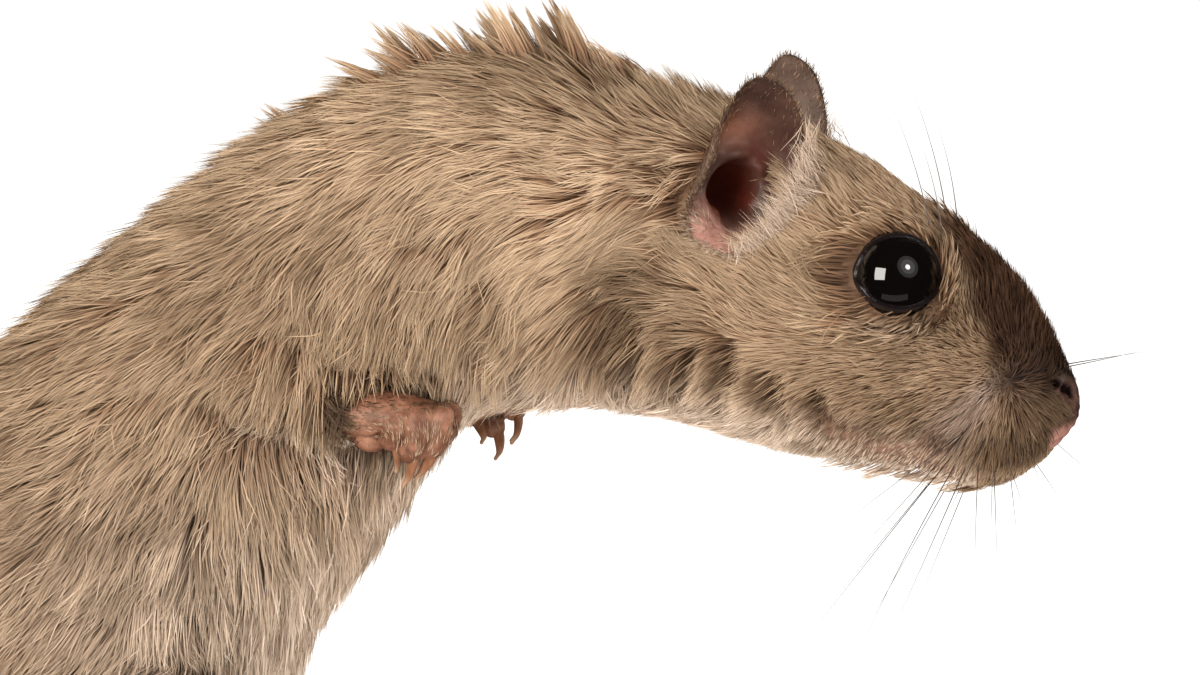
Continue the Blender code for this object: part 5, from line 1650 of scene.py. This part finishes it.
def grain_group():
    """Noise on the piece's own place, from 0 to 1: the grain of skin, horn, eye and floor."""
    tree, given, out = group(
        "grain",
        (("Scale", "NodeSocketFloat"), ("Detail", "NodeSocketFloat"), ("Stretch", "NodeSocketVector")),
        (("Grain", "NodeSocketFloat"),),
    )
    place = add(tree, "ShaderNodeTexCoord")
    turn = add(tree, "ShaderNodeMapping")
    plug(tree, given["Stretch"], turn.inputs["Scale"])
    plug(tree, place.outputs["Object"], turn.inputs["Vector"])
    made = add(tree, "ShaderNodeTexNoise")
    plug(tree, turn.outputs[0], made.inputs["Vector"])
    plug(tree, given["Scale"], made.inputs["Scale"])
    plug(tree, given["Detail"], made.inputs["Detail"])
    made.inputs["Roughness"].default_value = 0.55
    plug(tree, made.outputs[0], out["Grain"])
    return tree


GRAIN = grain_group()


def speckle(tree, scale, detail, stretch=(1, 1, 1)):
    """Places the grain in a material, at the scale and the stretch of its own."""
    return place_group(tree, GRAIN, Scale=scale, Detail=detail, Stretch=stretch)["Grain"]


def bump(tree, shader, height, strength, distance):
    made = add(tree, "ShaderNodeBump")
    made.inputs["Strength"].default_value = strength
    made.inputs["Distance"].default_value = distance * MM
    plug(tree, height, made.inputs["Height"])
    plug(tree, made.outputs[0], shader.inputs["Normal"])


def coat_material(colours):
    made, tree, shader = new_material("coat", 0.6, Specular_IOR_Level=0.22)
    share, tone, marks = read(tree, "share"), read(tree, "tone"), read(tree, "marks", True)
    out = place_group(tree, colours, Share=share, Tone=tone, Marks=marks)
    plug(tree, out["Colour"], shader.inputs["Base Color"])
    return made


def skin_material(colours):
    """Skin with short hair as streaks of its own colour, and bare skin on the feet with painted shade in
    its creases.
    """
    made, tree, shader = new_material("skin", 0.6, Specular_IOR_Level=0.3)
    grain = speckle(tree, 900, 4)
    tone = reckon(tree, "MULTIPLY_ADD", grain, 3.0, -1.9)
    tone = reckon(tree, "ADD", tone, read(tree, "tone"))
    out = place_group(tree, colours, Share=0.4, Tone=tone, Marks=read(tree, "marks", True))
    mottle = ramp(tree, speckle(tree, 700, 5), 0.35, 0.7)
    bare = blend(tree, mottle, (0.145, 0.056, 0.030, 1), (0.34, 0.155, 0.092, 1))
    # Painted shade in the creases of the bare skin.
    bare = blend(tree, read(tree, "hollow"), bare, (0.07, 0.02, 0.009, 1))
    pink = read(tree, "bare")
    plug(tree, blend(tree, pink, out["Colour"], bare), shader.inputs["Base Color"])
    shine = reckon(tree, "MULTIPLY", pink, 0.28)
    plug(tree, reckon(tree, "SUBTRACT", 0.66, shine), shader.inputs["Roughness"])
    wrinkle = speckle(tree, 1800, 4, (1, 1, 0.5))
    bump(tree, shader, wrinkle, 0.5, 0.25)
    return made


def ear_material():
    """Thin skin, dark at the rim, pinkish in the cup and at the lobes, near black in the canal, with a
    patch of painted light high in the cup and a painted shadow below the fold.
    """
    made, tree, shader = new_material("ear skin", 0.5, Specular_IOR_Level=0.35)
    canal, glow, lobes = parts_of(tree, read(tree, "marks", True))
    mottle = ramp(tree, speckle(tree, 500, 5), 0.3, 0.75)
    inner = blend(tree, mottle, (0.05, 0.022, 0.015, 1), (0.10, 0.046, 0.032, 1))
    # The colour of the painted light high in the cup.
    painted_light_colour = blend(tree, mottle, (0.20, 0.072, 0.04, 1), (0.31, 0.125, 0.075, 1))
    inner = blend(tree, glow, inner, painted_light_colour)
    pale = blend(tree, mottle, (0.40, 0.18, 0.135, 1), (0.56, 0.30, 0.235, 1))
    inner = blend(tree, lobes, inner, pale)
    # The canal's dark colour, also the painted shadow below the fold.
    inner = blend(tree, canal, inner, (0.11, 0.019, 0.009, 1))
    back = blend(tree, mottle, (0.075, 0.042, 0.030, 1), (0.135, 0.08, 0.058, 1))
    back = blend(tree, lobes, back, blend(tree, mottle, (0.17, 0.11, 0.08, 1), (0.30, 0.21, 0.16, 1)))
    plug(tree, blend(tree, read(tree, "behind"), inner, back), shader.inputs["Base Color"])
    bump(tree, shader, speckle(tree, 1500, 5), 0.4, 0.2)
    return made


def eye_material():
    made, tree, shader = new_material(
        "eye", 0.02, Specular_IOR_Level=0.4, Coat_Weight=1.0, Coat_Roughness=0.015,
    )
    black = blend(tree, speckle(tree, 60, 1), (0.0015, 0.001, 0.001, 1), (0.003, 0.002, 0.0015, 1))
    plug(tree, black, shader.inputs["Base Color"])
    return made


def lid_material():
    made, tree, shader = new_material("lids", 0.35, Specular_IOR_Level=0.25)
    wet = read(tree, "wet")
    mottle = ramp(tree, speckle(tree, 1400, 4), 0.3, 0.7)
    dry = blend(tree, mottle, (0.016, 0.010, 0.008, 1), (0.04, 0.025, 0.019, 1))
    plug(tree, blend(tree, wet, dry, (0.006, 0.004, 0.004, 1)), shader.inputs["Base Color"])
    shine = reckon(tree, "MULTIPLY", wet, 0.4)
    plug(tree, reckon(tree, "SUBTRACT", 0.55, shine), shader.inputs["Roughness"])
    bump(tree, shader, speckle(tree, 2500, 4), 0.4, 0.12)
    return made


def nose_material():
    made, tree, shader = new_material("nose", 0.38, Specular_IOR_Level=0.5)
    slot, pink, dark = parts_of(tree, read(tree, "marks", True))
    mottle = ramp(tree, speckle(tree, 1600, 4), 0.3, 0.7)
    colour = blend(tree, mottle, (0.05, 0.022, 0.016, 1), (0.11, 0.052, 0.037, 1))
    colour = blend(tree, pink, colour, blend(tree, mottle, (0.28, 0.12, 0.09, 1), (0.44, 0.21, 0.16, 1)))
    colour = blend(tree, dark, colour, (0.05, 0.028, 0.02, 1))
    # The nostril pits are painted near black and lose their specular, as painted shade in the openings.
    slot = ramp(tree, slot, 0.08, 0.55)
    colour = blend(tree, slot, colour, (0.006, 0.0025, 0.0025, 1))
    plug(tree, colour, shader.inputs["Base Color"])
    plug(tree, blend_value(tree, slot, 0.5, 0.0), shader.inputs["Specular IOR Level"])
    bump(tree, shader, speckle(tree, 2200, 5), 0.5, 0.15)
    return made


def horn_material():
    """Clear brown horn, darker at the root, with lengthwise grain."""
    made, tree, shader = new_material(
        "claw horn", 0.3, Specular_IOR_Level=0.5, Coat_Weight=0.3, Coat_Roughness=0.2,
    )
    grain = ramp(tree, speckle(tree, 1300, 4, (1, 1, 0.3)), 0.3, 0.7)
    horn = blend(tree, grain, (0.17, 0.062, 0.028, 1), (0.31, 0.135, 0.068, 1))
    horn = blend(tree, ramp(tree, read(tree, "share"), 0.6, 1.0), horn, (0.42, 0.24, 0.14, 1))
    plug(tree, horn, shader.inputs["Base Color"])
    bump(tree, shader, grain, 0.2, 0.05)
    return made


def whisker_material():
    made, tree, shader = new_material("whisker", 0.35)
    share = ramp(tree, read(tree, "share"), 0.2, 1.0)
    colour = blend(tree, share, (0.03, 0.02, 0.017, 1), (0.16, 0.13, 0.115, 1))
    plug(tree, colour, shader.inputs["Base Color"])
    return made


# Floor, light and camera.

TARGET = Vector((61.1, 0.0, 49.85))
AZIMUTH, ELEVATION, ROLL = 7.6, 6.4, -0.62
DISTANCE, SEEN_WIDTH = 800.0, 90.1
SENSOR_WIDTH = 36.0
FLOOR_HALF = 6000.0
LAMP_WHITE = (1.0, 0.97, 0.94)
# The light of the studio all round, and how bright the studio shows in what is glossy.
WORLD_LIGHT, WORLD_IN_GLOSS = 1.05, 0.008


def way_to(azimuth, elevation):
    """From the target towards something at this azimuth and elevation; azimuth 0 is on the right
    side, at -Y."""
    a, e = math.radians(azimuth), math.radians(elevation)
    return Vector((math.sin(a) * math.cos(e), -math.cos(a) * math.cos(e), math.sin(e)))


def aim(made, back, distance, roll=0.0):
    """Puts a camera or a lamp this far back from the target, and turns it to face the target."""
    facing = (-back).to_track_quat("-Z", "Y").to_matrix().to_4x4()
    turn = facing @ Matrix.Rotation(math.radians(roll), 4, "Z")
    made.matrix_world = Matrix.Translation((TARGET + back * distance) * MM) @ turn


def make_camera():
    data = bpy.data.cameras.new("camera")
    data.sensor_width = SENSOR_WIDTH
    data.lens = SENSOR_WIDTH * DISTANCE / SEEN_WIDTH
    data.clip_start = 0.01
    made = placed("camera", data)
    aim(made, way_to(AZIMUTH, ELEVATION), DISTANCE, ROLL)
    bpy.context.scene.camera = made


def make_light(
    name, azimuth, elevation, distance, size, power, colour=(1, 1, 1), shape="RECTANGLE", shown=True,
):
    data = bpy.data.lights.new(name, "AREA")
    data.shape = shape
    data.size, data.size_y = size[0] * MM, size[1] * MM
    data.energy = power
    data.color = colour
    made = placed(name, data)
    aim(made, way_to(azimuth, elevation), distance)
    made.visible_glossy = shown


def make_room():
    """A pale floor and a white studio: it lights the animal, and shows dimly in what is glossy."""
    corners = [(x * FLOOR_HALF, y * FLOOR_HALF, 0) for x, y in ((-1, -1), (1, -1), (1, 1), (-1, 1))]
    floor = new_object("floor", corners, [(0, 1, 2, 3)])
    made, tree, shader = new_material("floor", 1.0, Specular_IOR_Level=0.0)
    pale = blend(tree, speckle(tree, 2, 3), (0.86, 0.86, 0.855, 1), (0.90, 0.90, 0.895, 1))
    plug(tree, pale, shader.inputs["Base Color"])
    floor.data.materials.append(made)
    floor.visible_glossy = False
    world = bpy.data.worlds.new("studio")
    world.use_nodes = True
    bpy.context.scene.world = world
    tree = world.node_tree
    light = tree.nodes["Background"]
    light.inputs["Color"].default_value = (1.0, 0.99, 0.98, 1)
    seen = add(tree, "ShaderNodeLightPath")
    strength = blend_value(tree, seen.outputs["Is Glossy Ray"], WORLD_LIGHT, WORLD_IN_GLOSS)
    plug(tree, strength, light.inputs["Strength"])


def blend_value(tree, share, first, second):
    made = add(tree, "ShaderNodeMix", data_type="FLOAT")
    for socket, entry in ((made.inputs[0], share), (made.inputs[2], first), (made.inputs[3], second)):
        plug(tree, entry, socket)
    return made.outputs[0]


def make_lights():
    make_light("window", AZIMUTH - 34, ELEVATION + 8, 900, (420, 450), 5.5, (1.0, 0.95, 0.90))
    make_light("round lamp", AZIMUTH + 40, ELEVATION + 22, 900, (180, 180), 1.2, LAMP_WHITE, "DISK")
    make_light("lamp glow", AZIMUTH + 41, ELEVATION + 23, 950, (900, 900), 0.8, LAMP_WHITE, "DISK")
    make_light("inner glow", AZIMUTH + 41, ELEVATION + 23, 930, (560, 560), 0.4, LAMP_WHITE, "DISK")
    make_light("low card", AZIMUTH + 4, ELEVATION - 52, 900, (1000, 260), 0.25, (1.0, 0.86, 0.80))
    make_light("top", 150, 60, 900, (700, 700), 3.0, shown=False)
    bpy.context.scene.view_settings.view_transform = "Standard"


FLESH = ["torso", "neck", "head", "tail_base", "tail_middle", "tail_tip"] + [
    f"{part}_{word}" for part in ("foreleg", "forepaw", "hind_leg", "hind_foot") for word in SIDES
]

# The pieces of the coat on the trunk, by section, for each side.
COAT_CUTS = (
    ("rump", -1, 4.2), ("loin", 4.2, 8.0), ("chest", 8.0, 11.0), ("neck", 11.0, 13.7),
    ("cheek", 13.7, 16.6),
    ("face", 16.6, 24),
)


def make_coat(skin, material):
    hairs = grow_coat(skin)
    tufts = join_hairs(withers_tufts())
    right = hairs.root[:, 1] < 0
    trunk = hairs.part == TRUNK
    for label, low, high in COAT_CUTS:
        for word, mine in (("right", right), ("left", ~right)):
            chosen = hairs.pick(trunk & mine & (hairs.level >= low) & (hairs.level < high))
            coat_piece(f"coat_{label}_{word}", chosen, material, SHORT if low > 13 else LONG)
    limbs = np.isin(hairs.part, (THIGH, SHANK, ARM, PAW, FOOT))
    for word, mine in (("right", right), ("left", ~right)):
        coat_piece(f"coat_limbs_{word}", hairs.pick(limbs & mine), material)
    coat_piece("coat_tail", hairs.pick(hairs.part == TAIL), material)
    coat_piece("coat_withers_tufts", tufts, material)


def main():
    make_camera()
    make_room()
    make_lights()
    colours = coat_colour_group()
    coat, horn = coat_material(colours), horn_material()
    skin = Skin()
    wrist = smooth_step(0.4, 0.8, skin.level)
    pink = np.select([skin.part == PAW, skin.part == FOOT, skin.part == ARM], [1.0, 0.4, wrist], 0.0)
    thin = np.maximum(jaw_share(skin.points), chin_share(skin.points, skin.normals))
    pink = np.maximum(pink, 0.7 * thin)
    # The skin carries the coat's marks and tone with their painted shade, and painted shade in the
    # creases of its bare parts.
    for label, values in (
        ("marks", marks_of(skin.points, skin.normals)), ("bare", pink),
        ("tone", tone_of(skin.points, skin.normals)), ("hollow", skin.hollow_share()),
    ):
        mark(skin.made.data, label, values)
    dress(skin.made, skin_material(colours), FLESH)
    make_coat(skin, coat)
    ear, eye, lids = ear_material(), eye_material(), lid_material()
    for word, side in SIDES.items():
        cup = make_ear(word, side, ear)
        coat_piece(f"coat_ear_{word}", join_hairs(ear_hairs(cup, side)), coat, SHORT)
        make_eyeball(word, side, eye)
        make_lids(word, side, lids)
    make_nose(nose_material())
    make_claws(horn)
    make_whiskers(skin, whisker_material())


main()
